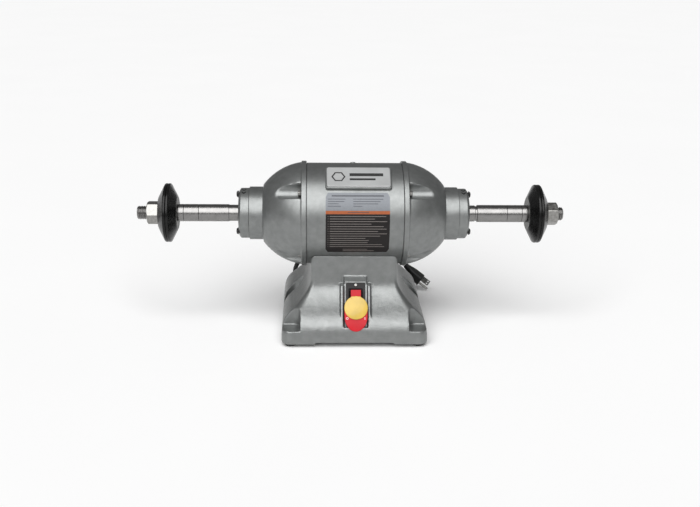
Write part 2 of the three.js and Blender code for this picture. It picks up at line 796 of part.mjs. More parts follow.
// The plug's own frame: x along it to the blades, y across, z up. The front face is at x = 0.
function plug() {
  const side = new THREE.Shape();
  side.moveTo(-46, 6.2 - cord_radius - 0.8);
  side.lineTo(0, -10.7);
  side.lineTo(0, 10.7);
  side.lineTo(-46, 10.7);
  const width = 24;
  const body = extruded(side, width, 1).rotateX(Math.PI / 2).translate(0, width / 2, 0);
  const waist = new THREE.Shape();
  waist.moveTo(-46, -5.4);
  waist.lineTo(-24, -12);
  waist.lineTo(0.1, -12);
  waist.lineTo(0.1, 12);
  waist.lineTo(-24, 12);
  waist.lineTo(-46, 5.4);
  const plan = extruded(waist, 40, 1).translate(0, 0, -20);
  const blade = (y) => block(-1, y - 0.75, 2, 17.4, y + 0.75, 8.3);
  const pin = rod(-1, 21.5, 2.4, 12).translate(0, 0, -6.7);
  const moulding = solid(body).intersect(solid(plan));
  return geometryOf(join(moulding, blade(-6.35), blade(6.35), pin));
}

function addCord() {
  add('strain_relief', strainRelief(), rubber);
  add('cord_lead', cordTube(lead_route), rubber);
  add('cord_hank', hank(), rubber);
  add('cord_tie', cordTie(), black_plastic);
  add('cord_tail', cordTube(tail_route), rubber);
  const mesh = add('plug', plug(), rubber, new THREE.Vector3(149.5, 172.5, 20.5));
  mesh.rotation.set(0, THREE.MathUtils.degToRad(33.4), THREE.MathUtils.degToRad(-20), 'ZYX');
}

// ---------------------------------------------------------------- assembly

addBase();
addSwitch();
addFrame();
addBells();
addMotor();
addSpindleFittings();
addCord();

export default model;
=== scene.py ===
"""The looks of a bench buffer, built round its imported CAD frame.

Metres, +Z up, +X along the spindle to the operator's right, -Y towards the operator.
Angles round the spindle are 0 at the operator's side and 90 degrees on top.
"""

import math

import bmesh
import bpy
from mathutils import Matrix, Quaternion, Vector, noise


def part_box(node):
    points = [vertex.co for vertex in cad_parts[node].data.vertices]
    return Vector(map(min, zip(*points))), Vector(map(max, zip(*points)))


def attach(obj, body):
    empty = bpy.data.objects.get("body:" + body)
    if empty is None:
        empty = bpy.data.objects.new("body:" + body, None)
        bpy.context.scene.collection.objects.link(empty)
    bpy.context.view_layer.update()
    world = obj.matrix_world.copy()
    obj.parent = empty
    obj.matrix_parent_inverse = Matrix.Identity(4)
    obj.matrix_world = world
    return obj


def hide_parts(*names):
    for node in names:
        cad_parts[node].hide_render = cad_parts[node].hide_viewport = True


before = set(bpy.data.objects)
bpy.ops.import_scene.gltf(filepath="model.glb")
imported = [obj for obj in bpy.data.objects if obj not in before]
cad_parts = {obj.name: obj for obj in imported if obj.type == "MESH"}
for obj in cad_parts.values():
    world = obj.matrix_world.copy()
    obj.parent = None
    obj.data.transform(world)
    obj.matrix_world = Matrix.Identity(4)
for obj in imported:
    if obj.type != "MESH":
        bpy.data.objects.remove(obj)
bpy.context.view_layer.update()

X, Y, Z = 0, 1, 2
SIDES = (("left", -1), ("right", 1))


def low(node, axis):
    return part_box(node)[0][axis]


def high(node, axis):
    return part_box(node)[1][axis]


def middle(node, axis):
    return (low(node, axis) + high(node, axis)) / 2


def span(node):
    """How far from the middle of the machine a node starts and ends, on either side of it."""
    ends = (abs(low(node, X)), abs(high(node, X)))
    return min(ends), max(ends)


# ---------------------------------------------------------------- driving dimensions

GAP = 0.0003
AXIS_HEIGHT = middle("shaft", Z)
SPINDLE_REACH = {-1: -low("shaft", X), 1: high("shaft", X)}
SPINDLE = Matrix.Translation((0, 0, AXIS_HEIGHT))

FRAME_RADIUS = high("motor_frame", Y)
FRAME_HALF = high("motor_frame", X)
FRAME_BORE = 0.086

RIM_RADIUS = high("end_bell_right", Y)
BELL_FACE = low("end_bell_right", X)
RIM_END = 0.0962
DOME_RADIUS = 0.107
DOME_CENTRE_X = 0.0806
DOME_CENTRE_R = -0.0116
DOME_END = 0.1656
NECK_RADIUS = 0.0487
NECK_END = high("end_bell_right", X)
CAP_START = low("bearing_cap_right", X)
CAP_END = high("bearing_cap_right", X)
CAP_RADIUS = high("bearing_cap_right", Y)
CAP_SCREW_CIRCLE = 0.039
CAP_SCREW_ANGLES = [math.radians(a) for a in (78, 198, 318)]
TIE_BOLT_CIRCLE = 0.0825
TIE_BOLT_ANGLES = [math.radians(a) for a in (41, 131, 221, 311)]
GROOVE_CIRCLE = 0.090
GROOVE_RADIUS = 0.014

SHOULDER_RADIUS = 0.015
SHOULDER_END = 0.229
SEAT_RADIUS = 0.01255
SLEEVE_RADIUS = high("spacer_sleeve_right_1", Z) - AXIS_HEIGHT
BORE_RADIUS = SEAT_RADIUS + GAP
FLANGE_RADIUS = high("outer_flange_right", Z) - AXIS_HEIGHT
FLANGE_HUB_RADIUS = 0.030
FLANGE_RIM = 0.0076
NUT_ACROSS_FLATS = 0.0381
THREAD_PITCH = 0.003175
THREAD_DEPTH = 0.0012

BASE_HALF_WIDTH = high("base_casting", X)
BASE_HALF_DEPTH = high("base_casting", Y)
BASE_BOTTOM = low("base_casting", Z)
PEDESTAL_HALF_WIDTH = 0.0785
PEDESTAL_HALF_DEPTH = 0.072
PEDESTAL_TOP = 0.156
SHELF_HEIGHT = 0.031

SWITCH_X = middle("switch_plate", X)
SWITCH_TILT = math.radians(28)
# Local axes on the switch: x to the right, y up along the plate from its top edge, z outwards.
SWITCH = (Matrix.Translation((SWITCH_X, -0.087, 0.1075))
          @ Matrix.Rotation(-SWITCH_TILT, 4, "X")
          @ Matrix.Rotation(math.pi / 2, 4, "X"))
PLATE_WIDTH = 0.035
PLATE_HEIGHT = 0.0805
PLATE_SCREW_DROP = 0.0036
KEY_RADIUS = 0.021
KEY_DROP = 0.0466

BADGE_X = middle("badge_plate", X)
BADGE_ANGLE = math.radians(57.5)
PAD_FACE = 0.0959
LABEL_X = middle("data_plate", X)
LABEL_HALF_WIDTH = (high("data_plate", X) - low("data_plate", X)) / 2
LABEL_THICKNESS = 0.001
TOP_SCREW_ANGLE = math.radians(117)

CORD_RADIUS = 0.0045
HANK_X = middle("cord_hank", X)
HANK_Y = middle("cord_hank", Y)
HANK_HALF_RUN = 0.036
HANK_FOLD = 0.027
HANK_TURNS = 5
HANK_FIRST_LAYER = 0.0061

# ---------------------------------------------------------------- camera

CAMERA_PLACE = Vector((-0.0751, -1.8038, 0.7240))
CAMERA_AIM = Vector((-0.0055, 0.0, 0.13525))
CAMERA_ROLL = math.radians(0.773)
CAMERA_LENS = 51.96


def make_camera():
    data = bpy.data.cameras.new("camera")
    data.lens = CAMERA_LENS
    data.sensor_width = 36
    camera = bpy.data.objects.new("camera", data)
    bpy.context.collection.objects.link(camera)
    aim = (CAMERA_AIM - CAMERA_PLACE).to_track_quat("-Z", "Y")
    camera.rotation_mode = "QUATERNION"
    camera.rotation_quaternion = aim @ Quaternion((0, 0, 1), CAMERA_ROLL)
    camera.location = CAMERA_PLACE
    bpy.context.scene.camera = camera


make_camera()

# ---------------------------------------------------------------- materials


class Look:
    """A procedural material: one shader fed with noise in the object's own metres."""

    def __init__(self, name, colour, roughness, metallic=0.0, **sockets):
        self.material = bpy.data.materials.new(name)
        self.material.use_nodes = True
        self.tree = self.material.node_tree
        self.shader = self.tree.nodes["Principled BSDF"]
        self.place = self.tree.nodes.new("ShaderNodeTexCoord").outputs["Object"]
        self.shader.inputs["Base Color"].default_value = (*colour, 1)
        self.shader.inputs["Roughness"].default_value = roughness
        self.shader.inputs["Metallic"].default_value = metallic
        for socket, value in sockets.items():
            self.shader.inputs[socket.replace("_", " ")].default_value = value

    def noise(self, size, detail=3.0, stretch=(1, 1, 1)):
        """Noise whose features are about that size, longer along an axis with a stretch."""
        mapping = self.tree.nodes.new("ShaderNodeMapping")
        mapping.inputs["Scale"].default_value = [1 / (size * s) for s in stretch]
        self.tree.links.new(self.place, mapping.inputs["Vector"])
        texture = self.tree.nodes.new("ShaderNodeTexNoise")
        texture.inputs["Scale"].default_value = 1
        texture.inputs["Detail"].default_value = detail
        self.tree.links.new(mapping.outputs["Vector"], texture.inputs["Vector"])
        return texture.outputs["Fac"]

    def add(self, first, second, share):
        """The first plus a share of the second."""
        sum_node = self.tree.nodes.new("ShaderNodeMath")
        sum_node.operation = "MULTIPLY_ADD"
        self.tree.links.new(second, sum_node.inputs[0])
        sum_node.inputs[1].default_value = share
        self.tree.links.new(first, sum_node.inputs[2])
        return sum_node.outputs[0]

    def colours(self, source, stops):
        """Base colour through a ramp of (position, colour) stops."""
        ramp = self.tree.nodes.new("ShaderNodeValToRGB")
        points = ramp.color_ramp.elements
        while len(points) < len(stops):
            points.new(0.5)
        for point, (position, colour) in zip(points, stops):
            point.position = position
            point.color = (*colour, 1)
        self.tree.links.new(source, ramp.inputs["Fac"])
        self.tree.links.new(ramp.outputs["Color"], self.shader.inputs["Base Color"])
        return self

    def roughness(self, source, smooth, rough):
        scale = self.tree.nodes.new("ShaderNodeMapRange")
        scale.inputs["From Min"].default_value = 0.3
        scale.inputs["From Max"].default_value = 0.7
        scale.inputs["To Min"].default_value = smooth
        scale.inputs["To Max"].default_value = rough
        self.tree.links.new(source, scale.inputs["Value"])
        self.tree.links.new(scale.outputs["Result"], self.shader.inputs["Roughness"])
        return self

    def bump(self, source, depth):
        bump = self.tree.nodes.new("ShaderNodeBump")
        bump.inputs["Distance"].default_value = depth
        bump.inputs["Strength"].default_value = 1
        self.tree.links.new(source, bump.inputs["Height"])
        self.tree.links.new(bump.outputs["Normal"], self.shader.inputs["Normal"])
        return self


def grey(value, warmth=0.0):
    return (value * (1 + warmth), value, value * (1 - warmth))


PAINT_DARK = (0.190, 0.197, 0.195)
PAINT_LIGHT = (0.250, 0.258, 0.255)


def paint_look(name, grain, depth, mottle):
    """Silver-grey metallic paint; grain is the size of the casting's roughness under it."""
    look = Look(name, grey(0.2), 0.4, metallic=0.8)
    fine = look.noise(grain, detail=4)
    broad = look.noise(grain * 9, detail=2)
    flake = look.noise(0.0007, detail=1)
    tone = look.add(broad, flake, 0.4)
    look.colours(tone, [(0.35, PAINT_DARK), (1.0, PAINT_LIGHT)])
    look.roughness(fine, 0.36 - mottle, 0.44 + mottle)
    return look.bump(look.add(fine, broad, 1.2), depth)


def steel_look(name, colour, roughness, ring=0.0005):
    """Turned steel with fine tool rings round the spindle."""
    look = Look(name, colour, roughness, metallic=1.0)
    rings = look.noise(ring, detail=2, stretch=(1, 400, 400))
    stain = look.noise(0.012, detail=4)
    look.colours(stain, [(0.3, tuple(c * 0.82 for c in colour)), (0.7, colour)])
    look.roughness(look.add(rings, stain, 0.5), roughness * 0.8, roughness * 1.3)
    return look.bump(rings, 0.00002)


def zinc_look():
    colour = (0.36, 0.355, 0.34)
    look = Look("zinc_steel", colour, 0.34, metallic=1.0)
    patches = look.noise(0.004, detail=5)
    look.colours(patches, [(0.35, (0.25, 0.245, 0.235)), (0.65, colour)])
    look.roughness(patches, 0.26, 0.46)
    return look.bump(look.noise(0.0008, detail=3), 0.00004)


def plastic_look(name, colour, roughness, grain, depth, coat=0.0):
    """Moulded plastic or rubber with a slight grain and a little colour variation."""
    look = Look(name, colour, roughness, Coat_Weight=coat)
    cloud = look.noise(0.02, detail=4)
    look.colours(cloud, [(0.3, tuple(c * 0.88 for c in colour)), (0.7, tuple(c * 1.08 for c in colour))])
    fine = look.noise(grain, detail=3)
    look.roughness(look.add(fine, cloud, 0.5), roughness * 0.85, roughness * 1.25)
    return look.bump(fine, depth)


def enamel_look():
    look = Look("black_enamel", grey(0.004), 0.24, Specular_IOR_Level=0.25)
    ripple = look.noise(0.006, detail=2)
    look.colours(look.noise(0.01, detail=4), [(0.3, grey(0.003)), (0.7, grey(0.006))])
    look.roughness(ripple, 0.2, 0.3)
    return look.bump(ripple, 0.00006)


def brushed_look(name, colour, roughness):
    """Satin metal foil brushed along X."""
    look = Look(name, colour, roughness, metallic=0.6)
    lines = look.noise(0.0005, detail=2, stretch=(60, 1, 1))
    look.colours(look.noise(0.03, detail=3), [(0.3, tuple(c * 0.9 for c in colour)), (0.7, colour)])
    look.roughness(lines, roughness * 0.85, roughness * 1.2)
    return look.bump(lines, 0.00001)


def print_look(name, colour, metallic=0.0):
    """Ink or film on the label, with a faint unevenness."""
    look = Look(name, colour, 0.42, metallic=metallic, Specular_IOR_Level=0.3)
    cloud = look.noise(0.006, detail=4)
    look.colours(cloud, [(0.3, tuple(c * 0.86 for c in colour)), (0.7, tuple(c * 1.06 for c in colour))])
    look.roughness(cloud, 0.36, 0.5)
    return look.bump(look.noise(0.001), 0.00001)


CAST_PAINT = paint_look("cast_paint", 0.0016, 0.00034, 0.03).material
BELL_PAINT = paint_look("bell_paint", 0.0012, 0.00005, 0.01).material
FRAME_PAINT = paint_look("frame_paint", 0.0012, 0.00003, 0.01).material
POLISHED = steel_look("polished_steel", (0.27, 0.265, 0.26), 0.22).material
MACHINED = steel_look("machined_steel", (0.20, 0.20, 0.195), 0.38, ring=0.0009).material
BEARING = steel_look("bearing_steel", (0.62, 0.62, 0.62), 0.15).material
ZINC = zinc_look().material
ENAMEL = enamel_look().material
BLACK_SCREW = plastic_look("black_screw", grey(0.012), 0.38, 0.0008, 0.00003).material
RUBBER = plastic_look("black_rubber", grey(0.014), 0.55, 0.0007, 0.00005).material
CORD_SHEATH = plastic_look("cord_sheath", grey(0.012), 0.42, 0.0012, 0.00003).material
TIE_PLASTIC = plastic_look("tie_plastic", grey(0.03), 0.6, 0.0008, 0.00005).material
SWITCH_BLACK = plastic_look("switch_black", (0.005, 0.004, 0.0045), 0.5, 0.0006, 0.00004).material
PADDLE_RED = plastic_look("paddle_red", (0.50, 0.001, 0.010), 0.5, 0.0015, 0.00001).material
KEY_YELLOW = plastic_look("key_yellow", (0.60, 0.41, 0.065), 0.3, 0.0015, 0.00001, coat=0.3).material
MARK_WHITE = print_look("mark_white", (0.75, 0.72, 0.72)).material
MARK_BLACK = print_look("mark_black", grey(0.01)).material
BADGE_METAL = brushed_look("badge_metal", (0.62, 0.63, 0.63), 0.36).material
BADGE_INK = print_look("badge_ink", grey(0.03)).material
LABEL_SILVER = print_look("label_silver", (0.17, 0.18, 0.195), metallic=0.5).material
LABEL_ORANGE = print_look("label_orange", (0.33, 0.085, 0.025)).material
LABEL_BLACK = print_look("label_black", (0.007, 0.005, 0.005)).material
LABEL_LINES = print_look("label_lines", (0.20, 0.18, 0.17)).material
LABEL_INK = print_look("label_ink", (0.05, 0.05, 0.06)).material
CORE_STEEL = brushed_look("core_steel", (0.22, 0.23, 0.25), 0.5).material
COPPER = steel_look("copper_winding", (0.55, 0.20, 0.08), 0.32, ring=0.0014).material
CAN_METAL = brushed_look("can_metal", (0.5, 0.51, 0.52), 0.35).material

# ---------------------------------------------------------------- shape tools


def shape_from(bm):
    """An object from a bmesh, with its faces pointing out."""
    bmesh.ops.recalc_face_normals(bm, faces=bm.faces)
    mesh = bpy.data.meshes.new("shape")
    bm.to_mesh(mesh)
    bm.free()
    shape = bpy.data.objects.new("shape", mesh)
    bpy.context.collection.objects.link(shape)
    return shape


def placed(shape, *places):
    """Moves the shape's own vertices, last matrix first, and leaves its object at the origin."""
    whole = Matrix.Identity(4)
    for place in places:
        whole = whole @ place
    shape.data.transform(whole)
    return shape


def apply_modifiers(shape):
    depsgraph = bpy.context.evaluated_depsgraph_get()
    mesh = bpy.data.meshes.new_from_object(shape.evaluated_get(depsgraph))
    old = shape.data
    shape.modifiers.clear()
    shape.data = mesh
    bpy.data.meshes.remove(old)
    return shape


def combine(shape, tool, operation):
    """Joins (UNION) or cuts (DIFFERENCE) the shape with a tool, which is used up."""
    modifier = shape.modifiers.new("combine", "BOOLEAN")
    modifier.operation = operation
    modifier.solver = "EXACT"
    modifier.object = tool
    apply_modifiers(shape)
    bpy.data.objects.remove(tool)
    return shape


def beveled(shape, width):
    modifier = shape.modifiers.new("bevel", "BEVEL")
    modifier.width = width
    modifier.segments = 3
    modifier.limit_method = "ANGLE"
    modifier.angle_limit = math.radians(35)
    return apply_modifiers(shape)


def shade(mesh, sharp):
    """Smooth shading, but a crease where two faces meet at more than `sharp` degrees."""
    bm = bmesh.new()
    bm.from_mesh(mesh)
    for face in bm.faces:
        face.smooth = True
    for edge in bm.edges:
        edge.smooth = len(edge.link_faces) == 2 and edge.calc_face_angle() < math.radians(sharp)
    bm.to_mesh(mesh)
    bm.free()


def piece(name, shape, looks, body, slot, *nodes, sharp=32):
    """Names a shape, dresses it and hands it to the frame."""
    shape.name = name
    shape.data.name = name
    while len(shape.data.materials) > len(looks):
        shape.data.materials.pop()
    for i, look in enumerate(looks):
        if i < len(shape.data.materials):
            shape.data.materials[i] = look
        else:
            shape.data.materials.append(look)
    shade(shape.data, sharp)
    weighted = shape.modifiers.new("weighted", "WEIGHTED_NORMAL")
    weighted.keep_sharp = True
    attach(shape, body)
    if nodes:
        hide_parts(*nodes)
    return shape


def rounded(corners, closed=False, steps=4):
    """An outline with an arc at each corner that is given as (x, y, rounding)."""
    points = []
    for i, corner in enumerate(corners):
        at = Vector(corner[:2])
        if len(corner) < 3 or (not closed and i in (0, len(corners) - 1)):
            points.append(tuple(at))
            continue
        before = (Vector(corners[i - 1][:2]) - at).normalized()
        after = (Vector(corners[(i + 1) % len(corners)][:2]) - at).normalized()
        half = before.angle(after) / 2
        reach = corner[2] / math.tan(half)
        centre = at + (before + after).normalized() * (corner[2] / math.sin(half))
        for step in range(steps + 1):
            arm = (at + before * reach).lerp(at + after * reach, step / steps) - centre
            points.append(tuple(centre + arm.normalized() * corner[2]))
    return points


def even_angles(count):
    return [2 * math.pi * i / count for i in range(count)]


def turned(outline, angles=None, closed=False):
    """A surface round the X axis through (x, radius) rings.

    A radius may be a function of the angle. A ring of radius 0 is a point on the axis.
    """
    angles = angles or even_angles(96)
    bm = bmesh.new()
    rings = []
    for x, radius in outline:
        if radius == 0:
            rings.append([bm.verts.new((x, 0, 0))])
            continue
        reach = radius if callable(radius) else (lambda angle, r=radius: r)
        rings.append([
            bm.verts.new((x, -reach(a) * math.cos(a), reach(a) * math.sin(a))) for a in angles
        ])
    pairs = list(zip(rings, rings[1:]))
    if closed:
        pairs.append((rings[-1], rings[0]))
    for one, two in pairs:
        for i in range(len(angles)):
            j = (i + 1) % len(angles)
            corners = [one[i % len(one)], one[j % len(one)], two[j % len(two)], two[i % len(two)]]
            bm.faces.new(list(dict.fromkeys(corners)))
    return shape_from(bm)


def band(bm, one, two):
    """Faces between two closed loops of equal length."""
    for i in range(len(one)):
        j = (i + 1) % len(one)
        bm.faces.new([one[i], one[j], two[j], two[i]])


def stacked(rings):
    """A closed body through rings of points of equal length, flat at both ends."""
    bm = bmesh.new()
    loops = [[bm.verts.new(p) for p in ring] for ring in rings]
    for one, two in zip(loops, loops[1:]):
        band(bm, one, two)
    bm.faces.new(loops[0])
    bm.faces.new(loops[-1])
    return shape_from(bm)


def rectangle(width, height, corner, steps=6):
    """A rounded rectangle's outline round the origin."""
    a, b = width / 2, height / 2
    corners = [(-a, -b, corner), (a, -b, corner), (a, b, corner), (-a, b, corner)]
    return rounded(corners, closed=True, steps=steps)


def edge_levels(bottom, top, rounding):
    """(height, inset) pairs of a slab whose upper edge is rounded."""
    levels = [(bottom, 0)]
    steps = 4
    for step in range(steps + 1):
        angle = math.pi / 2 * step / steps
        levels.append((top - rounding + rounding * math.sin(angle), rounding * (1 - math.cos(angle))))
    return levels


def slab(width, height, corner, levels, centre=(0, 0)):
    """A rounded rectangle stacked through (height, inset) levels."""
    rings = []
    for level, inset in levels:
        outline = rectangle(width - 2 * inset, height - 2 * inset, max(corner - inset, 0.0002))
        rings.append([(x + centre[0], y + centre[1], level) for x, y in outline])
    return stacked(rings)


def prism(outline, start, end):
    """An outline in x and y, drawn out along z."""
    return stacked([[(x, y, level) for x, y in outline] for level in (start, end)])


def block(low_corner, high_corner):
    (x0, y0, z0), (x1, y1, z1) = low_corner, high_corner
    return prism([(x0, y0), (x1, y0), (x1, y1), (x0, y1)], z0, z1)


# Turns the X axis to Z, for things turned about an upright axis.
UPRIGHT = Matrix.Rotation(-math.pi / 2, 4, "Y")
# Turns the X axis to Y, for things turned about an axis from front to back.
ALONG_Y = Matrix.Rotation(math.pi / 2, 4, "Z")
# Turns an outline's x, y, z into y, z, x, for prisms drawn out along the spindle.
ALONG_X = Matrix(((0, 0, 1, 0), (1, 0, 0, 0), (0, 1, 0, 0), (0, 0, 0, 1)))


def cylinder(start, end, radius, count=64):
    """A plain cylinder along X, for cutting."""
    return turned([(start, 0), (start, radius), (end, radius), (end, 0)], even_angles(count))


def merged(shape, *others):
    """Adds the faces of other shapes that it doesn't touch to a shape."""
    bm = bmesh.new()
    bm.from_mesh(shape.data)
    for other in others:
        bm.from_mesh(other.data)
        bpy.data.objects.remove(other)
    bm.to_mesh(shape.data)
    bm.free()
    return shape


def smooth_min(a, b, blend):
    overlap = max(blend - abs(a - b), 0) / blend
    return min(a, b) - overlap * overlap * blend / 4


def around(angle, radius):
    return Vector((0, -radius * math.cos(angle), radius * math.sin(angle)))


# ---------------------------------------------------------------- power cord

# From the strain relief in a falling loop to the bench and on to the hank.
LEAD_ROUTE = [
    (-0.0370, 0.1324, 0.0800),
    (-0.0376, 0.1430, 0.0800),
    (-0.0415, 0.1550, 0.0796),
    (-0.0500, 0.1650, 0.0790),
    (-0.0620, 0.1700, 0.0783),
    (-0.0750, 0.1710, 0.0775),
    (-0.0890, 0.1710, 0.0740),
    (-0.1010, 0.1710, 0.0658),
    (-0.1095, 0.1710, 0.0525),
    (-0.1118, 0.1710, 0.0385),
    (-0.1080, 0.1712, 0.0240),
    (-0.0990, 0.1718, 0.0125),
    (-0.0870, 0.1730, 0.0062),
    (-0.0740, 0.1750, 0.0049),
    (-0.0600, 0.1780, 0.0049),
    (-0.0460, 0.1820, 0.0049),
    (-0.0320, 0.1864, 0.0049),
    (-0.0195, 0.1900, 0.0050),
    (-0.0050, 0.1940, 0.0054),
]

# From the top of the hank over its end to the plug.
TAIL_ROUTE = [
    (0.0260, 0.1951, 0.0522),
    (0.0440, 0.1952, 0.0537),
    (0.0620, 0.1952, 0.0554),
    (0.0800, 0.1946, 0.0569),
    (0.0968, 0.1917, 0.0575),
    (0.1060, 0.1884, 0.0561),
    (0.1124, 0.1861, 0.0535),
    (0.1157, 0.1849, 0.0516),
]


def fold_points(side, height, rise):
    """Half a turn round one end of the hank, climbing by `rise` before it is round."""
    points = []
    steps = 10
    for step in range(1, steps):
        share = step / steps
        angle = math.pi * share
        climb = min(share / 0.72, 1)
        climb = climb * climb * (3 - 2 * climb)
        out = HANK_HALF_RUN + HANK_FOLD * math.sin(angle)
        across = HANK_FOLD * math.cos(angle)
        points.append((HANK_X + side * out, HANK_Y + side * across, height + rise * climb))
    return points


def hank_points():
    """The turns of the hank, each lying on the one below."""
    points = []
    layer = 2 * CORD_RADIUS
    back, front = HANK_Y + HANK_FOLD, HANK_Y - HANK_FOLD
    near, far = HANK_X - HANK_HALF_RUN, HANK_X + HANK_HALF_RUN
    for turn in range(HANK_TURNS):
        height = HANK_FIRST_LAYER + turn * layer
        points += [(x, back, height) for x in (near, HANK_X - 0.012, HANK_X + 0.012, far)]
        points += fold_points(1, height, 0)
        points += [(x, front, height) for x in (far, HANK_X + 0.012, HANK_X - 0.012, near)]
        points += fold_points(-1, height, layer)
    points.append((near, back, HANK_FIRST_LAYER + HANK_TURNS * layer))
    return points


def smooth_path(points, steps):
    """A smooth curve through the points, as a fine polyline (Catmull-Rom)."""
    path = []
    padded = [points[0], *points, points[-1]]
    for before, start, end, after in zip(padded, padded[1:], padded[2:], padded[3:]):
        p0, p1, p2, p3 = Vector(before), Vector(start), Vector(end), Vector(after)
        for step in range(steps):
            t = step / steps
            path.append(0.5 * (2 * p1 + (p2 - p0) * t + (2 * p0 - 5 * p1 + 4 * p2 - p3) * t ** 2
                               + (3 * p1 - p0 - 3 * p2 + p3) * t ** 3))
    path.append(Vector(points[-1]))
    return path


def cord_curve(path):
    data = bpy.data.curves.new("power_cord", "CURVE")
    data.dimensions = "3D"
    data.bevel_depth = CORD_RADIUS
    data.bevel_resolution = 5
    data.use_fill_caps = True
    spline = data.splines.new("POLY")
    spline.points.add(len(path) - 1)
    for point, place in zip(spline.points, path):
        point.co = (*place, 1)
    data.materials.append(CORD_SHEATH)
    cord = bpy.data.objects.new("power_cord", data)
    bpy.context.collection.objects.link(cord)
    return cord


def strain_relief():
    """A tapered sleeve with grooves round it, and the collar that holds it in the base."""
    start = low("strain_relief", Y) + 0.018
    length = high("strain_relief", Y) - start
    outline = [(-0.018, 0), (-0.018, 0.0082), (0, 0.0082), (0, 0.011), (0.0035, 0.011),
               (0.005, 0.0098), (0.006, 0.0082)]
    ribs = 5
    for rib in range(ribs):
        at = 0.0075 + rib * 0.0044
        radius = 0.0080 - 0.0018 * (at / length)
        outline += [(at, radius), (at + 0.0003, radius - 0.0011), (at + 0.0014, radius - 0.0011),
                    (at + 0.0017, radius)]
    outline += [(length - 0.001, 0.0062), (length, 0.0055), (length, 0)]
    place = Matrix.Translation((middle("strain_relief", X), start, middle("strain_relief", Z)))
    return placed(turned(outline, even_angles(40)), place, ALONG_Y)


# The plug's own axes: x to the blades, y across, z up, with its front face at x = 0.
PLUG = (Matrix.Translation((0.1495, 0.1725, 0.0205))
        @ Matrix.Rotation(math.radians(-20), 4, "Z")
        @ Matrix.Rotation(math.radians(33.4), 4, "Y"))


def plug_section(x, half_width, bottom, top, corner):
    """One rounded section across the plug."""
    outline = rectangle(2 * half_width, top - bottom, corner, steps=5)
    return [(x, across, (bottom + top) / 2 + up) for across, up in outline]


def plug_body():
    sections = [
        (-0.0460, 0.0046, 0.0014, 0.0106, 0.0040),
        (-0.0440, 0.0054, 0.0004, 0.0107, 0.0042),
        (-0.0380, 0.0064, -0.0010, 0.0107, 0.0045),
        (-0.0320, 0.0086, -0.0028, 0.0107, 0.0050),
        (-0.0250, 0.0114, -0.0048, 0.0107, 0.0052),
        (-0.0180, 0.0120, -0.0066, 0.0107, 0.0050),
        (-0.0090, 0.0120, -0.0087, 0.0107, 0.0050),
        (-0.0020, 0.0120, -0.0105, 0.0107, 0.0048),
        (-0.0006, 0.0117, -0.0104, 0.0104, 0.0046),
        (0.0000, 0.0110, -0.0098, 0.0098, 0.0042),
    ]
    body = stacked([plug_section(*section) for section in sections])
    notches, pitch, notch_width, notch_middle = 4, 0.0035, 0.0014, 0.0084
    for notch in range(notches):
        start = -0.0445 + notch * pitch
        for side in (-1, 1):
            across = side * notch_middle
            tool = block((start, across - 0.003, -0.02), (start + notch_width, across + 0.003, 0.02))
            combine(body, tool, "DIFFERENCE")
    return body


def plug_blades():
    """Two flat blades with a hole near the tip, and a round earth pin."""
    pins = turned(rounded([(-0.001, 0), (-0.001, 0.0024), (0.0215, 0.0024, 0.0018), (0.0215, 0)]),
                  even_angles(24))
    placed(pins, Matrix.Translation((0, 0, -0.0067)))
    for side in (-1, 1):
        across = side * 0.00635
        outline = rounded([(-0.001, 0.002), (0.0174, 0.002, 0.0016), (0.0174, 0.0083, 0.0016),
                           (-0.001, 0.0083)], closed=True, steps=3)
        blade = placed(prism(outline, across - 0.00075, across + 0.00075),
                       Matrix(((1, 0, 0, 0), (0, 0, 1, 0), (0, 1, 0, 0), (0, 0, 0, 1))))
        hole = placed(cylinder(across - 0.002, across + 0.002, 0.0016, 20),
                      Matrix.Translation((0.0132, 0, 0.00515)), ALONG_Y)
        combine(blade, hole, "DIFFERENCE")
        combine(pins, blade, "UNION")
    return pins


def cord_tie():
    """A strap drawn round the middle of the hank."""
    half_width = 0.0063 / 2
    height, bottom = high("cord_tie", Z), low("cord_tie", Z)
    depth = high("cord_tie", Y) - low("cord_tie", Y)
    outside = rectangle(depth, height - bottom, 0.0058, steps=8)
    inside = rectangle(depth - 0.002, height - bottom - 0.002, 0.0048, steps=8)
    outer, inner = 1.8 * half_width, 1.7 * half_width
    levels = [(-outer, 0.0003), (-inner, 0), (inner, 0), (outer, 0.0003)]
    bm = bmesh.new()
    rings = []
    for level, inset in levels:
        rings.append([bm.verts.new((level, y * (1 - inset / depth), z)) for y, z in outside])
    for level, inset in reversed(levels):
        rings.append([bm.verts.new((level, y, z)) for y, z in inside])
    for one, two in zip(rings, [*rings[1:], rings[0]]):
        band(bm, one, two)
    strap = shape_from(bm)
    return placed(strap, Matrix.Translation((HANK_X, HANK_Y, (height + bottom) / 2)))


def make_cord():
    path = smooth_path([*LEAD_ROUTE, *hank_points(), *TAIL_ROUTE], 5)
    cord = cord_curve(path)
    plug = piece("plug_body", placed(plug_body(), PLUG), [CORD_SHEATH], "housing", "cord_rubber",
                 "plug", sharp=40)
    blades = piece("plug_blades", placed(plug_blades(), PLUG), [ZINC], "housing", "zinc_steel")
    tie = piece("hank_tie", cord_tie(), [TIE_PLASTIC], "housing", "tie_plastic", "cord_tie")
    piece("cord_relief", strain_relief(), [RUBBER], "housing", "cord_rubber", "strain_relief",
          sharp=40)
    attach(cord, "housing")
    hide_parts("cord_lead", "cord_hank", "cord_tail")


make_cord()

# ---------------------------------------------------------------- base casting


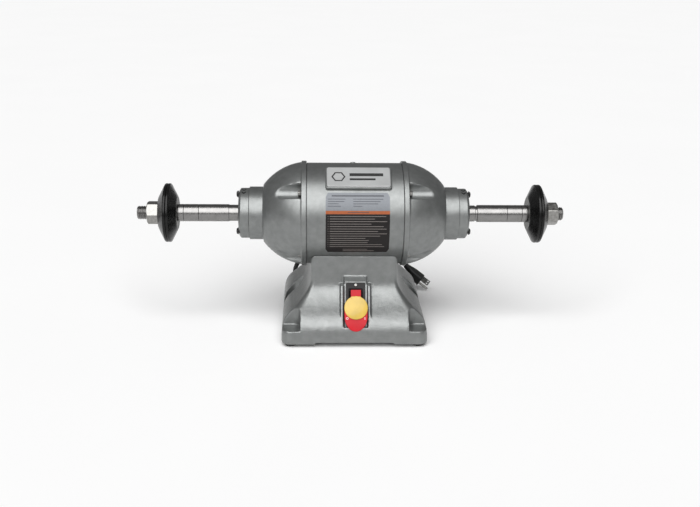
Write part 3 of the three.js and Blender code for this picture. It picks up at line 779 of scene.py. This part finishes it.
def flare_profile(steps):
    """(flare, height) down the pedestal: a hollow sweep outwards, then a round shoulder."""
    def bezier(a, b, c, d, t):
        return tuple(
            (1 - t) ** 3 * a[i] + 3 * (1 - t) ** 2 * t * b[i] + 3 * (1 - t) * t ** 2 * c[i] + t ** 3 * d[i]
            for i in (0, 1)
        )
    upper = [(0, 0.112), (0, 0.094), (0.14, 0.084), (0.38, 0.071)]
    lower = [(0.38, 0.071), (0.62, 0.058), (0.93, 0.050), (0.985, 0.028)]
    points = [bezier(*upper, i / steps) for i in range(steps)]
    return points + [bezier(*lower, i / steps) for i in range(steps + 1)]


def base_ring(flare, height, inset=0.0):
    """The outline at one height; the sides and the back sweep out sooner than the front corners."""
    wide = flare ** 0.6
    spread = BASE_HALF_WIDTH - PEDESTAL_HALF_WIDTH
    half_width = PEDESTAL_HALF_WIDTH + wide * spread - inset
    narrowing = (wide - flare) * spread / half_width
    front = PEDESTAL_HALF_DEPTH + flare * (BASE_HALF_DEPTH - PEDESTAL_HALF_DEPTH) - inset
    back = PEDESTAL_HALF_DEPTH + wide * (BASE_HALF_DEPTH - PEDESTAL_HALF_DEPTH) - inset
    corner = 0.007 + 0.009 * flare
    ring = []
    for x, y in rectangle(2 * half_width, front + back, corner, steps=8):
        y += (back - front) / 2
        ahead = max(-y / front, 0)
        ring.append((x * (1 - narrowing * ahead), y, height))
    return ring


def pedestal():
    rings = [base_ring(1, BASE_BOTTOM, 0.0012), base_ring(1, BASE_BOTTOM + 0.0012), base_ring(1, 0.021)]
    for flare, height in reversed(flare_profile(12)):
        rings.append(base_ring(flare, height))
    rings.append(base_ring(0, PEDESTAL_TOP))
    return stacked(rings)


def corner_notch(side):
    """The bolt-down notch at a front corner, cut straight down to the shelf."""
    inner, back, radius, outside = 0.098, -0.0965, 0.014, 0.150
    outline = rounded([(inner, -outside), (outside, -outside), (outside, back), (inner, back, radius)],
                      closed=True, steps=8)
    return prism([(side * x, y) for x, y in outline], SHELF_HEIGHT, 0.13)


def side_scallop(side):
    place = Matrix.Translation((side * 0.114, 0.019, 0))
    return placed(cylinder(SHELF_HEIGHT, 0.13, 0.020), place, UPRIGHT)


def switch_surround():
    """The sloping ledge over the switch and the body that carries the two rails."""
    section = [(-0.070, 0.1172), (-0.087, 0.1086), (-0.0905, 0.1065), (-0.1293, 0.0345),
               (-0.100, 0.030), (-0.055, 0.085), (-0.055, 0.1245)]
    half = 0.0205
    ledge = placed(prism(section, SWITCH_X - half, SWITCH_X + half), ALONG_X)
    lower = [(-0.0860, 0.1030), (-0.0905, 0.1040), (-0.1293, 0.0345), (-0.100, 0.030), (-0.055, 0.085),
             (-0.055, 0.1010)]
    half = 0.0272
    rails = placed(prism(lower, SWITCH_X - half, SWITCH_X + half), ALONG_X)
    return combine(ledge, rails, "UNION")


def base_casting():
    body = combine(pedestal(), switch_surround(), "UNION")
    boss_face = 0.1
    exit_place = Matrix.Translation((middle("strain_relief", X), 0, middle("strain_relief", Z)))
    combine(body, placed(cylinder(0.04, boss_face, 0.0165), exit_place, ALONG_Y), "UNION")
    floor = BASE_BOTTOM - 0.001
    arch, arch_top = 0.071, BASE_BOTTOM + 0.004
    slot = slab(0.0304, 0.058, 0.002, [(-0.045, 0), (0, 0)], centre=(0, -0.040))
    tools = [
        placed(cylinder(-0.15, 0.15, FRAME_RADIUS + GAP, 180), SPINDLE),
        corner_notch(-1), corner_notch(1), side_scallop(-1), side_scallop(1),
        block((-0.119, -0.120, floor), (0.119, 0.120, 0.013)),
        block((-arch, -0.15, floor), (arch, 0.15, arch_top)),
        block((-0.15, -arch, floor), (0.15, arch, arch_top)),
        placed(slab(0.0436, PLATE_HEIGHT + 0.001, 0.0015, [(-0.002, 0), (0.008, 0)],
                    centre=(0, -PLATE_HEIGHT / 2)), SWITCH),
        placed(slot, SWITCH),
        placed(cylinder(0.05, 0.12, 0.0086), exit_place, ALONG_Y),
        placed(cylinder(boss_face, 0.16, 0.015), exit_place, ALONG_Y),
    ]
    for tool in tools:
        combine(body, tool, "DIFFERENCE")
    return cast_skin(body)


def cast_skin(shape):
    """Rounds every edge as a sand casting's are, and leaves its skin faintly uneven."""
    voxel, passes, depth = 0.0014, 4, 0.00012
    skin = shape.modifiers.new("skin", "REMESH")
    skin.mode = "VOXEL"
    skin.voxel_size = voxel
    soften = shape.modifiers.new("soften", "SMOOTH")
    soften.factor = 0.5
    soften.iterations = passes
    apply_modifiers(shape)
    normals = [vertex.normal.copy() for vertex in shape.data.vertices]
    for vertex, normal in zip(shape.data.vertices, normals):
        wave = noise.noise(vertex.co * 90) + 0.6 * noise.noise(vertex.co * 260)
        vertex.co += normal * wave * depth
    return shape


def foot():
    """A rubber foot with a rounded lower edge."""
    top = high("foot_front_left", Z)
    outline = rounded([(0, 0), (0, 0.0095, 0.0012), (0.0025, 0.012, 0.001), (top, 0.012), (top, 0)])
    return placed(turned(outline, even_angles(48)), UPRIGHT)


def make_base():
    piece("base_body", base_casting(), [CAST_PAINT], "housing", "casting_paint", "base_casting",
          sharp=180)
    for name in ("foot_front_left", "foot_front_right", "foot_rear_left", "foot_rear_right"):
        place = Matrix.Translation((middle(name, X), middle(name, Y), 0))
        piece(f"{name}_pad", placed(foot(), place), [RUBBER], "housing", "foot_rubber", name)


# ---------------------------------------------------------------- switch


def switch_plate():
    levels = edge_levels(-0.0017, 0, 0.0006)
    plate = slab(PLATE_WIDTH, PLATE_HEIGHT, 0.002, levels, centre=(0, -PLATE_HEIGHT / 2))
    opening = slab(0.025, 0.062, 0.0015, [(-0.01, 0.0016), (-0.0016, 0.0012), (0.0005, -0.0006)],
                   centre=(0, -0.041))
    combine(plate, opening, "DIFFERENCE")
    hole = placed(cylinder(-0.01, 0.01, 0.0019, 24), Matrix.Translation((0, -PLATE_SCREW_DROP, 0)),
                  UPRIGHT)
    return placed(combine(plate, hole, "DIFFERENCE"), SWITCH)


def slotted_screw():
    """A pan head with a cross recess on a plain shank."""
    outline = rounded([(-0.0085, 0), (-0.0085, 0.0015), (0.0003, 0.0015), (0.0003, 0.003, 0.0003),
                       (0.0017, 0.0026, 0.0007), (0.0017, 0)])
    screw = placed(turned(outline, even_angles(40)), UPRIGHT)
    for quarter in (0, 90):
        arm = block((-0.0019, -0.00035, 0.0008), (0.0019, 0.00035, 0.003))
        combine(screw, placed(arm, Matrix.Rotation(math.radians(quarter + 20), 4, "Z")), "DIFFERENCE")
    return placed(screw, SWITCH, Matrix.Translation((0, -PLATE_SCREW_DROP, 0)))


def paddle_outline():
    """The bib behind the key: narrow under its tab, as wide as the key below its middle."""
    half = 0.0206
    straight = -0.0620
    bottom = -0.0885
    points = [(-0.009, -0.018), (-0.009, -0.030), (-0.0150, -0.0360), (-half, -0.0455), (-half, straight)]
    steps = 16
    for step in range(1, steps):
        angle = math.pi * step / steps
        points.append((-half * math.cos(angle), straight + (bottom - straight) * math.sin(angle)))
    return points + [(-x, y) for x, y in reversed(points[:5])]


def paddle():
    body = prism(paddle_outline(), 0.004, 0.012)
    combine(body, block((-0.009, -0.020, -0.009), (0.009, -0.014, 0.012)), "UNION")
    # The lower face leans back, and a hollow cut gives its upper edge an arc.
    hollow = 0.055
    scoop = placed(cylinder(-0.06, 0.06, hollow, 128), Matrix.Translation((0, -0.0715, 0.0118)),
                   Matrix.Rotation(math.radians(-72), 4, "X"), Matrix.Translation((0, -hollow, 0)), UPRIGHT)
    combine(body, scoop, "DIFFERENCE")
    combine(body, block((-0.0044, -KEY_DROP - 0.0029, 0.0055), (0.0044, -KEY_DROP + 0.0029, 0.02)),
            "DIFFERENCE")
    return placed(beveled(body, 0.0007), SWITCH)


def switch_marks():
    """A ring for off and a bar for on, raised a little on the paddle."""
    face, top = 0.01195, 0.01215
    ring = turned([(face, 0.0013), (top, 0.0013), (top, 0.0021), (face, 0.0021)], even_angles(32),
                  closed=True)
    placed(ring, Matrix.Translation((-0.0158, -0.0655, 0)), UPRIGHT)
    bar = placed(block((-0.0005, -0.0022, face), (0.0005, 0.0022, top)),
                 Matrix.Translation((0.0158, -0.0655, 0)))
    return placed(combine(ring, bar, "UNION"), SWITCH)


def key_shape():
    """A domed disc with a tab on top and a tongue that goes into the paddle."""
    back, rim, crown = 0.0123, 0.0021, 0.0046
    outline = [(0, 0), (0, KEY_RADIUS - 0.0006), (0.0006, KEY_RADIUS)]
    outline += rounded([(0.0006, KEY_RADIUS), (rim, KEY_RADIUS, 0.0007), (rim + 0.0006, 0.0185)])[1:]
    for step in range(1, 12):
        radius = 0.0185 * (1 - step / 12)
        share = radius / 0.0185
        outline.append((rim + 0.0006 + (crown - rim - 0.0006) * (1 - share ** 2), radius))
    outline.append((crown, 0))
    disc = placed(turned(outline, even_angles(96)), Matrix.Translation((0, -KEY_DROP, back)), UPRIGHT)
    tab = slab(0.018, 0.0145, 0.0018, edge_levels(back, back + 0.0030, 0.0008), centre=(0, -0.0335))
    combine(disc, tab, "UNION")
    tongue = block((-0.004, -KEY_DROP - 0.0025, 0.006), (0.004, -KEY_DROP + 0.0025, back + 0.001))
    return placed(combine(disc, tongue, "UNION"), SWITCH)


def make_switch():
    piece("switch_face", switch_plate(), [SWITCH_BLACK], "housing", "switch_black", "switch_plate")
    piece("switch_fixing", slotted_screw(), [ZINC], "housing", "zinc_steel", "switch_screw")
    piece("paddle_body", paddle(), [PADDLE_RED], "paddle", "paddle_red", "switch_paddle")
    piece("paddle_marks", switch_marks(), [MARK_WHITE], "paddle", "paddle_red")
    piece("key_body", key_shape(), [KEY_YELLOW], "key", "key_yellow", "safety_key")


# ---------------------------------------------------------------- motor frame

PATCH_STEP = math.radians(2.5)


def on_frame(angle):
    """Local axes on the motor frame: x along it, y round it, z outwards."""
    return SPINDLE @ Matrix.Rotation(math.pi / 2 - angle, 4, "X")


def motor_frame():
    shell = placed(turned(
        rounded([(-FRAME_HALF, FRAME_BORE), (-FRAME_HALF, FRAME_RADIUS, 0.0006),
                 (FRAME_HALF, FRAME_RADIUS, 0.0006), (FRAME_HALF, FRAME_BORE)], closed=True, steps=3),
        even_angles(180), closed=True), SPINDLE)
    pad = slab(0.1185, 0.052, 0.005, edge_levels(PAD_FACE - 0.0085, PAD_FACE, 0.0014), centre=(BADGE_X, 0))
    return combine(shell, placed(pad, on_frame(BADGE_ANGLE)), "UNION")


def badge_plate():
    levels = edge_levels(PAD_FACE + GAP, PAD_FACE + 0.0015, 0.0005)
    return placed(slab(0.113, 0.0465, 0.004, levels, centre=(BADGE_X, 0)), on_frame(BADGE_ANGLE))


def badge_mark():
    """A plain hexagon ring and two bars, raised a little on the badge."""
    face, top = PAD_FACE + 0.0014, PAD_FACE + 0.0017

    def six_sided(radius):
        return [(radius * math.cos(math.pi * i / 3), radius * math.sin(math.pi * i / 3)) for i in range(6)]

    ring = combine(prism(six_sided(0.0125), face, top), prism(six_sided(0.0098), face - 0.001, top + 0.001),
                   "DIFFERENCE")
    placed(ring, Matrix.Translation((BADGE_X - 0.036, 0, 0)))
    bars = [block((BADGE_X - 0.016, y0, face), (BADGE_X + reach, y1, top))
            for y0, y1, reach in ((0.0015, 0.0085, 0.044), (-0.0085, -0.0040, 0.030))]
    return placed(merged(ring, *bars), on_frame(BADGE_ANGLE))


def frame_patch(x0, x1, low_angle, high_angle, inner, outer, corner=0.0):
    """A thin sheet bent round the frame, with its edges as wide as its rounded corners allow."""
    bm = bmesh.new()
    count = max(2, math.ceil((high_angle - low_angle) / PATCH_STEP))
    angles = [low_angle + (high_angle - low_angle) * i / count for i in range(count + 1)]
    if corner:
        reach = corner / outer
        bends = [reach * (1 - math.cos(math.pi / 2 * i / 4)) for i in range(4)]
        angles = sorted(set(angles) | {low_angle + b for b in bends} | {high_angle - b for b in bends})
        angles = [a for a in angles
                  if a - low_angle in bends or high_angle - a in bends
                  or low_angle + reach < a < high_angle - reach] or angles
    rows = []
    for angle in sorted({round(a, 6) for a in angles}):
        edge = min(angle - low_angle, high_angle - angle) * outer
        inset = 0.0
        if corner and edge < corner:
            inset = corner - math.sqrt(max(corner ** 2 - (corner - edge) ** 2, 0))
        xs = (x0 + inset, x1 - inset)
        rows.append([bm.verts.new(around(angle, r) + Vector((x, 0, 0)))
                     for x, r in ((xs[0], inner), (xs[1], inner), (xs[1], outer), (xs[0], outer))])
    for one, two in zip(rows, rows[1:]):
        band(bm, one, two)
    bm.faces.new(rows[0])
    bm.faces.new(rows[-1])
    return placed(shape_from(bm), SPINDLE)


LABEL_LOW, LABEL_HIGH = math.radians(-32), math.radians(38.4)
SILVER_LOW = math.radians(18.2)
ORANGE_LOW = math.radians(14.6)


def label_sheet():
    """The data plate, with its faces sorted into a silver, an orange and a black band."""
    sheet = frame_patch(LABEL_X - LABEL_HALF_WIDTH, LABEL_X + LABEL_HALF_WIDTH, LABEL_LOW, LABEL_HIGH,
                        FRAME_RADIUS + GAP, FRAME_RADIUS + LABEL_THICKNESS, corner=0.004)
    for limit in (SILVER_LOW, ORANGE_LOW):
        bm = bmesh.new()
        bm.from_mesh(sheet.data)
        normal = Vector((0, math.sin(limit), math.cos(limit)))
        bmesh.ops.bisect_plane(bm, geom=[*bm.verts, *bm.edges, *bm.faces],
                               plane_co=(0, 0, AXIS_HEIGHT), plane_no=normal)
        bm.to_mesh(sheet.data)
        bm.free()
    for face in sheet.data.polygons:
        at = face.center
        angle = math.atan2(at.z - AXIS_HEIGHT, -at.y)
        face.material_index = 0 if angle > SILVER_LOW else 1 if angle > ORANGE_LOW else 2
    return sheet


def ruled_lines(rows, thickness):
    """Raised strips that stand for printed lines. A row is (angle in degrees, start, end)."""
    strips = []
    surface = FRAME_RADIUS + LABEL_THICKNESS
    half = thickness / surface / 2
    for degrees, start, end in rows:
        angle = math.radians(degrees)
        strips.append(frame_patch(LABEL_X + start, LABEL_X + end, angle - half, angle + half,
                                  surface - 0.00005, surface + 0.00008))
    return merged(*strips)


def pale_rows():
    """Blank lines in the black band, of uneven length, in short paragraphs."""
    ends = (0.050, 0.030, 0.052, 0.024, 0.046, 0.051, 0.036, 0.052, 0.040, 0.014, 0.020, 0.018, 0.044,
            0.048)
    rows = []
    for i, end in enumerate(ends):
        degrees = 12.2 - i * 2.75
        rows.append((degrees, -0.0495, end))
        rows.append((degrees, -0.0530, -0.0520))
    return rows + [(-27.5, -0.026, 0.018), (-29.8, -0.026, 0.030)]


def dark_rows():
    """Blank lines in the silver band, in two columns, and one on the orange band."""
    rows = [(35.2, -0.046, 0.046), (34.2, -0.046, 0.046)]
    for degrees, left, right in ((31.0, -0.022, 0.045), (28.4, -0.024, 0.040), (25.8, -0.034, 0.036),
                                 (23.2, -0.030, 0.008)):
        rows += [(degrees, -0.053, left), (degrees, -0.008, right)]
    return rows + [(16.4, -0.018, 0.020)]


def top_screw():
    """A round blanking screw, as painted as the frame."""
    start, end = FRAME_RADIUS + GAP, FRAME_RADIUS + 0.0035
    outline = rounded([(start - 0.006, 0), (start - 0.006, 0.003), (start, 0.003), (start, 0.0055, 0.0004),
                       (end, 0.0055, 0.0016), (end, 0)])
    screw = placed(turned(outline, even_angles(48)), UPRIGHT)
    return placed(screw, on_frame(TOP_SCREW_ANGLE), Matrix.Translation((middle("top_screw", X), 0, 0)))


def make_frame():
    piece("frame_shell", motor_frame(), [FRAME_PAINT], "housing", "casting_paint", "motor_frame")
    piece("badge_face", badge_plate(), [BADGE_METAL], "housing", "badge_metal", "badge_plate")
    piece("badge_mark", badge_mark(), [BADGE_INK], "housing", "badge_metal")
    piece("label_sheet", label_sheet(), [LABEL_SILVER, LABEL_ORANGE, LABEL_BLACK], "housing",
          "data_label", "data_plate")
    piece("label_pale_lines", ruled_lines(pale_rows(), 0.0009), [LABEL_LINES], "housing", "data_label")
    piece("label_dark_lines", ruled_lines(dark_rows(), 0.0010), [LABEL_INK], "housing", "data_label")
    piece("top_plug", top_screw(), [FRAME_PAINT], "housing", "casting_paint", "top_screw")


# ---------------------------------------------------------------- end bells


def dome_radius(x):
    return DOME_CENTRE_R + math.sqrt(DOME_RADIUS ** 2 - (x - DOME_CENTRE_X) ** 2)


def channel(angle, circle, radius):
    """How near the axis a round channel at the closest tie bolt cuts, along that angle."""
    nearest = min(abs(math.remainder(angle - bolt, 2 * math.pi)) for bolt in TIE_BOLT_ANGLES)
    across = circle * math.sin(nearest)
    along = circle * math.cos(nearest)
    if across < radius:
        return along - math.sqrt(radius ** 2 - across ** 2)
    return along + 4 * (across - radius)


def bell_angles():
    """Angles round the bell, close together at the edges of the grooves."""
    angles = []
    edge = math.asin(GROOVE_RADIUS / GROOVE_CIRCLE)
    across_steps, between_steps = 12, 30
    for bolt in TIE_BOLT_ANGLES:
        for step in range(-across_steps, across_steps + 1):
            share = math.sin(math.pi / 2 * step / across_steps)
            angles.append(bolt + math.asin(GROOVE_RADIUS * share / GROOVE_CIRCLE))
        for step in range(1, between_steps):
            share = (1 - math.cos(math.pi * step / between_steps)) / 2
            angles.append(bolt + edge + share * (math.pi / 2 - 2 * edge))
    return angles


def dome_ring(x, lift=0.0):
    """A ring of the dome with its grooves for the tie bolts."""
    def radius(angle):
        groove = channel(angle, GROOVE_CIRCLE, GROOVE_RADIUS)
        return smooth_min(dome_radius(x), groove, 0.0022) + lift
    return (x, radius)


def end_bell(side):
    rim = [(BELL_FACE, RIM_RADIUS - 0.0006), (BELL_FACE + 0.0006, RIM_RADIUS),
           (RIM_END - 0.0012, RIM_RADIUS), (RIM_END - 0.0004, RIM_RADIUS - 0.0004),
           (RIM_END, RIM_RADIUS - 0.0012)]
    dome = [dome_ring(RIM_END, 0.0008), dome_ring(RIM_END + 0.0005, 0.0002)]
    x = RIM_END + 0.0018
    while x < DOME_END - 0.0005:
        dome.append(dome_ring(x))
        x += 0.0019 if x < 0.142 else 0.0026
    neck = rounded([(DOME_END, dome_radius(DOME_END)), (DOME_END + 0.0006, NECK_RADIUS, 0.0006),
                    (NECK_END, NECK_RADIUS, 0.0008), (NECK_END, 0.0313), (0.1737, 0.0313)])
    hollow = [(0.1737, 0.027), (0.167, 0.027), (0.150, 0.058), (0.120, 0.072), (BELL_FACE, 0.072)]
    outline = [*rim, *dome, *neck, *hollow]
    bell = turned(outline, bell_angles(), closed=True)
    if side < 0:
        placed(bell, Matrix.Diagonal((-1, 1, 1, 1)))
        bell.data.flip_normals()
    return placed(bell, SPINDLE)


def on_side(side, shape):
    """Mirrors a shape built for the right side to the left one, and lifts it to the spindle."""
    if side < 0:
        placed(shape, Matrix.Diagonal((-1, 1, 1, 1)))
        shape.data.flip_normals()
    return placed(shape, SPINDLE)


def bearing_cap(side):
    corners = [(CAP_START, 0.0161), (CAP_START, CAP_RADIUS, 0.0005), (CAP_END - 0.0035, CAP_RADIUS, 0.003),
               (CAP_END, CAP_RADIUS - 0.005, 0.0022), (CAP_END, 0.0175, 0.0006), (CAP_END - 0.0012, 0.0161)]
    cap = turned(rounded(corners, closed=True, steps=5), even_angles(144), closed=True)
    return on_side(side, cap)


def chevrons(side):
    """Two plain arrowheads that show which way the spindle turns."""
    middle_x = (CAP_START + CAP_END) / 2
    inner, outer = CAP_RADIUS - 0.0001, CAP_RADIUS + 0.0001
    marks = []
    for lowest in (math.radians(63.5), math.radians(76)):
        arms = [(0, 0), (0.0039, 0.0044), (0.0039, 0.0080), (0, 0.0036), (-0.0039, 0.0080),
                (-0.0039, 0.0044)]
        rings = []
        for radius in (inner, outer):
            ring = []
            for i, (x, s) in enumerate(arms):
                x2, s2 = arms[(i + 1) % len(arms)]
                for step in range(4):
                    px, ps = x + (x2 - x) * step / 4, s + (s2 - s) * step / 4
                    ring.append(around(lowest + ps / CAP_RADIUS, radius) + Vector((middle_x + px, 0, 0)))
            rings.append(ring)
        marks.append(arrow_mark(rings))
    return on_side(side, merged(*marks))


def arrow_mark(rings):
    """A thin arrowhead between two rings: strips across it follow the round of the cap."""
    bm = bmesh.new()
    loops = [[bm.verts.new(p) for p in ring] for ring in rings]
    band(bm, *loops)
    half = len(loops[0]) // 2
    for loop in loops:
        for i in range(4):
            bm.faces.new([loop[i], loop[i + 1], loop[half - 1 - i], loop[half - i]])
            bm.faces.new([loop[-i], loop[-i - 1], loop[half + 1 + i], loop[half + i]])
    return shape_from(bm)


def cap_screw(side, angle):
    """A button head with a hexagon socket."""
    start = CAP_END + GAP
    outline = rounded([(start - 0.012, 0), (start - 0.012, 0.003), (start, 0.003), (start, 0.0063, 0.0004),
                       (start + 0.0012, 0.0062, 0.0008), (start + 0.0036, 0.0044, 0.0022),
                       (start + 0.0040, 0.0020), (start + 0.0040, 0)])
    screw = turned(outline, even_angles(48))
    combine(screw, cylinder(start + 0.0018, start + 0.006, 0.0021, 6), "DIFFERENCE")
    return on_side(side, placed(screw, Matrix.Translation(around(angle, CAP_SCREW_CIRCLE))))


def hexagon(across_flats, blend):
    """Radius of a hexagon with softened corners, as a function of the angle."""
    def radius(angle):
        nearest = math.remainder(angle, math.pi / 3)
        other = math.copysign(math.pi / 3, nearest) - nearest
        flat = across_flats / 2
        return smooth_min(flat / math.cos(nearest), flat / math.cos(other), blend)
    return radius


def tie_bolt(angle):
    """A long rod with a chamfered hexagon head at each end."""
    flat = hexagon(0.0096, 0.0005)
    half = []
    for x, cone in ((0.0965, 0.0049), (0.0969, 0.0054), (0.1012, 0.0054), (0.1017, 0.0050),
                    (0.1021, 0.0043)):
        half.append((x, lambda a, c=cone: min(flat(a), c)))
    right = [(0.0965, 0.003), *half, (0.1022, 0.0036), (0.1022, 0)]
    left = [(-x, radius) for x, radius in reversed(right)]
    bolt = turned([*left, *right], even_angles(48))
    return placed(bolt, SPINDLE, Matrix.Translation(around(angle, TIE_BOLT_CIRCLE)))


def make_bells():
    for name, side in SIDES:
        piece(f"bell_{name}", end_bell(side), [BELL_PAINT], "housing", "casting_paint",
              f"end_bell_{name}", sharp=38)
        piece(f"cap_{name}", bearing_cap(side), [FRAME_PAINT], "housing", "casting_paint",
              f"bearing_cap_{name}")
        piece(f"turn_marks_{name}", chevrons(side), [MARK_BLACK], "housing", "black_screw")
        for i, angle in enumerate(CAP_SCREW_ANGLES):
            node = f"cap_screw_{name}_{i + 1}"
            piece(f"{node}_body", cap_screw(side, angle), [BLACK_SCREW], "housing", "black_screw", node)
    for i, angle in enumerate(TIE_BOLT_ANGLES):
        node = f"tie_bolt_{i + 1}"
        piece(f"{node}_body", tie_bolt(angle), [ZINC], "housing", "zinc_steel", node)


# ---------------------------------------------------------------- spindle and its fittings


def threaded(side, x):
    """A ring of the screw thread; the left end's thread is left-handed."""
    end = SPINDLE_REACH[side] - 0.0022

    def radius(angle):
        turn = x / THREAD_PITCH - angle / (2 * math.pi)
        groove = (1 - math.cos(2 * math.pi * turn)) / 2
        chamfer = SEAT_RADIUS - max(x - end, 0)
        return min(SEAT_RADIUS - THREAD_DEPTH * groove, chamfer)
    return (x, radius)


def half_shaft(side):
    """Half of the shaft, from its middle to the threaded end."""
    outline = [(0, 0.017), (0.1737, 0.017), (0.1737, SHOULDER_RADIUS)]
    if side > 0:
        groove = 0.0136
        outline += rounded([(0.19, SHOULDER_RADIUS), (SHOULDER_END - 0.004, SHOULDER_RADIUS, 0.0005),
                            (SHOULDER_END - 0.0035, groove, 0.0004), (SHOULDER_END, groove)])
    else:
        outline.append((SHOULDER_END, SHOULDER_RADIUS))
    thread_start = high("outer_flange_right", X) - 0.002
    outline += [(SHOULDER_END, SEAT_RADIUS), (thread_start - 0.001, SEAT_RADIUS)]
    steps_per_turn = 10
    reach = SPINDLE_REACH[side]
    count = int((reach - thread_start) / THREAD_PITCH * steps_per_turn)
    for step in range(count):
        outline.append(threaded(side, thread_start + step * THREAD_PITCH / steps_per_turn))
    outline += [threaded(side, reach), (reach, 0.0030), (reach - 0.003, 0)]
    return outline


def shaft():
    mirrored = [(-x, radius) for x, radius in reversed(half_shaft(-1))]
    return placed(turned([*mirrored, *half_shaft(1)[1:]], even_angles(72)), SPINDLE)


def sleeve(side, node):
    near, far = span(node)
    edge = 0.0005
    corners = [(near, BORE_RADIUS), (near, SLEEVE_RADIUS, edge), (far, SLEEVE_RADIUS, edge),
               (far, BORE_RADIUS)]
    return on_side(side, turned(rounded(corners, closed=True, steps=3), even_angles(96), closed=True))


def flange(side, node, away):
    """A dished flange: black cone, machined hub face, and a rounded rim at the seam."""
    near, far = span(node)
    seam, hub = (near, far) if away > 0 else (far, near)
    corners = [(seam, BORE_RADIUS), (seam, FLANGE_RADIUS, 0.0012),
               (seam + away * FLANGE_RIM * 0.62, FLANGE_RADIUS, 0.0026),
               (hub - away * 0.0012, FLANGE_HUB_RADIUS + 0.0028, 0.0010),
               (hub, FLANGE_HUB_RADIUS, 0.0004), (hub, BORE_RADIUS)]
    disc = turned(rounded(corners, closed=True, steps=5), even_angles(144), closed=True)
    for face in disc.data.polygons:
        at_hub = abs(face.center.x - hub) < 0.0005
        face.material_index = 1 if at_hub and abs(face.normal.x) > 0.6 else 0
    return on_side(side, disc)


def nut(side, node, turn):
    """A hexagon nut with both faces chamfered and a countersunk bore."""
    near, far = span(node)
    flat = hexagon(NUT_ACROSS_FLATS, 0.0012)
    corner = NUT_ACROSS_FLATS / math.sqrt(3)
    angles = [angle + turn for angle in even_angles(180)]

    def ring(x, cone):
        return (x, lambda angle: min(flat(angle - turn), cone))

    outline = [(near, 0.0145), (near, corner - 0.0030)]
    for step in range(1, 9):
        share = step / 8
        outline.append(ring(near + 0.0016 * share, corner - 0.0030 + 0.0034 * share))
    for step in range(9):
        share = step / 8
        outline.append(ring(far - 0.0024 * (1 - share), corner + 0.0004 - 0.0036 * share))
    outline += [(far, 0.0145), (far - 0.0015, BORE_RADIUS), (near + 0.0015, BORE_RADIUS)]
    return on_side(side, turned(outline, angles, closed=True))


def make_spindle():
    piece("shaft_body", shaft(), [POLISHED], "rotor", "polished_steel", "shaft", sharp=50)
    nut_turns = {"left": math.pi / 6, "right": 0}
    for name, side in SIDES:
        for i in (1, 2, 3):
            node = f"spacer_sleeve_{name}_{i}"
            piece(f"{node}_body", sleeve(side, node), [POLISHED], "rotor", "polished_steel", node)
        for node, away in ((f"inner_flange_{name}", -1), (f"outer_flange_{name}", 1)):
            piece(f"{node}_body", flange(side, node, away), [ENAMEL, MACHINED], "rotor", "black_enamel",
                  node, sharp=40)
        node = f"arbor_nut_{name}"
        piece(f"{node}_body", nut(side, node, nut_turns[name]), [ZINC], "rotor", "zinc_steel", node,
              sharp=25)


# ---------------------------------------------------------------- pieces that stay as the frame has them


def dress(look, *nodes):
    for node in nodes:
        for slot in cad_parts[node].material_slots:
            slot.material = look


def dress_inner_pieces():
    dress(CAST_PAINT, "base_cover")
    dress(CAN_METAL, "run_capacitor")
    dress(SWITCH_BLACK, "switch_body")
    dress(CORE_STEEL, "stator_core", "rotor_core")
    for name in ("left", "right"):
        dress(COPPER, f"stator_winding_{name}")
        dress(BEARING, f"bearing_outer_race_{name}", f"bearing_inner_race_{name}",
              f"bearing_balls_{name}")


# ---------------------------------------------------------------- floor and light


def make_floor():
    look = Look("pale_floor", grey(0.97), 0.9)
    look.colours(look.noise(0.4, detail=2), [(0.3, grey(0.965)), (0.7, grey(0.975))])
    reach = 15
    floor = block((-reach, -reach, -0.02), (reach, reach, 0))
    floor.name = "floor"
    floor.data.materials.append(look.material)


def make_lights():
    """A wide soft light in front and above, in a dim room."""
    room_strength, key_strength = 0.17, 3.5
    key_height, key_spread, to_the_left = math.radians(50), math.radians(66), 0.15
    world = bpy.data.worlds.new("studio")
    world.use_nodes = True
    background = world.node_tree.nodes["Background"]
    background.inputs["Color"].default_value = (1, 1, 1, 1)
    background.inputs["Strength"].default_value = room_strength
    bpy.context.scene.world = world
    data = bpy.data.lights.new("key_light", "SUN")
    data.energy = key_strength
    data.angle = key_spread
    key = bpy.data.objects.new("key_light", data)
    bpy.context.collection.objects.link(key)
    toward_light = Vector((-to_the_left, -math.cos(key_height), math.sin(key_height)))
    key.rotation_mode = "QUATERNION"
    key.rotation_quaternion = toward_light.to_track_quat("Z", "Y")
    bpy.context.scene.view_settings.view_transform = "Standard"


make_base()
make_switch()
make_frame()
make_bells()
make_spindle()
dress_inner_pieces()
make_floor()
make_lights()
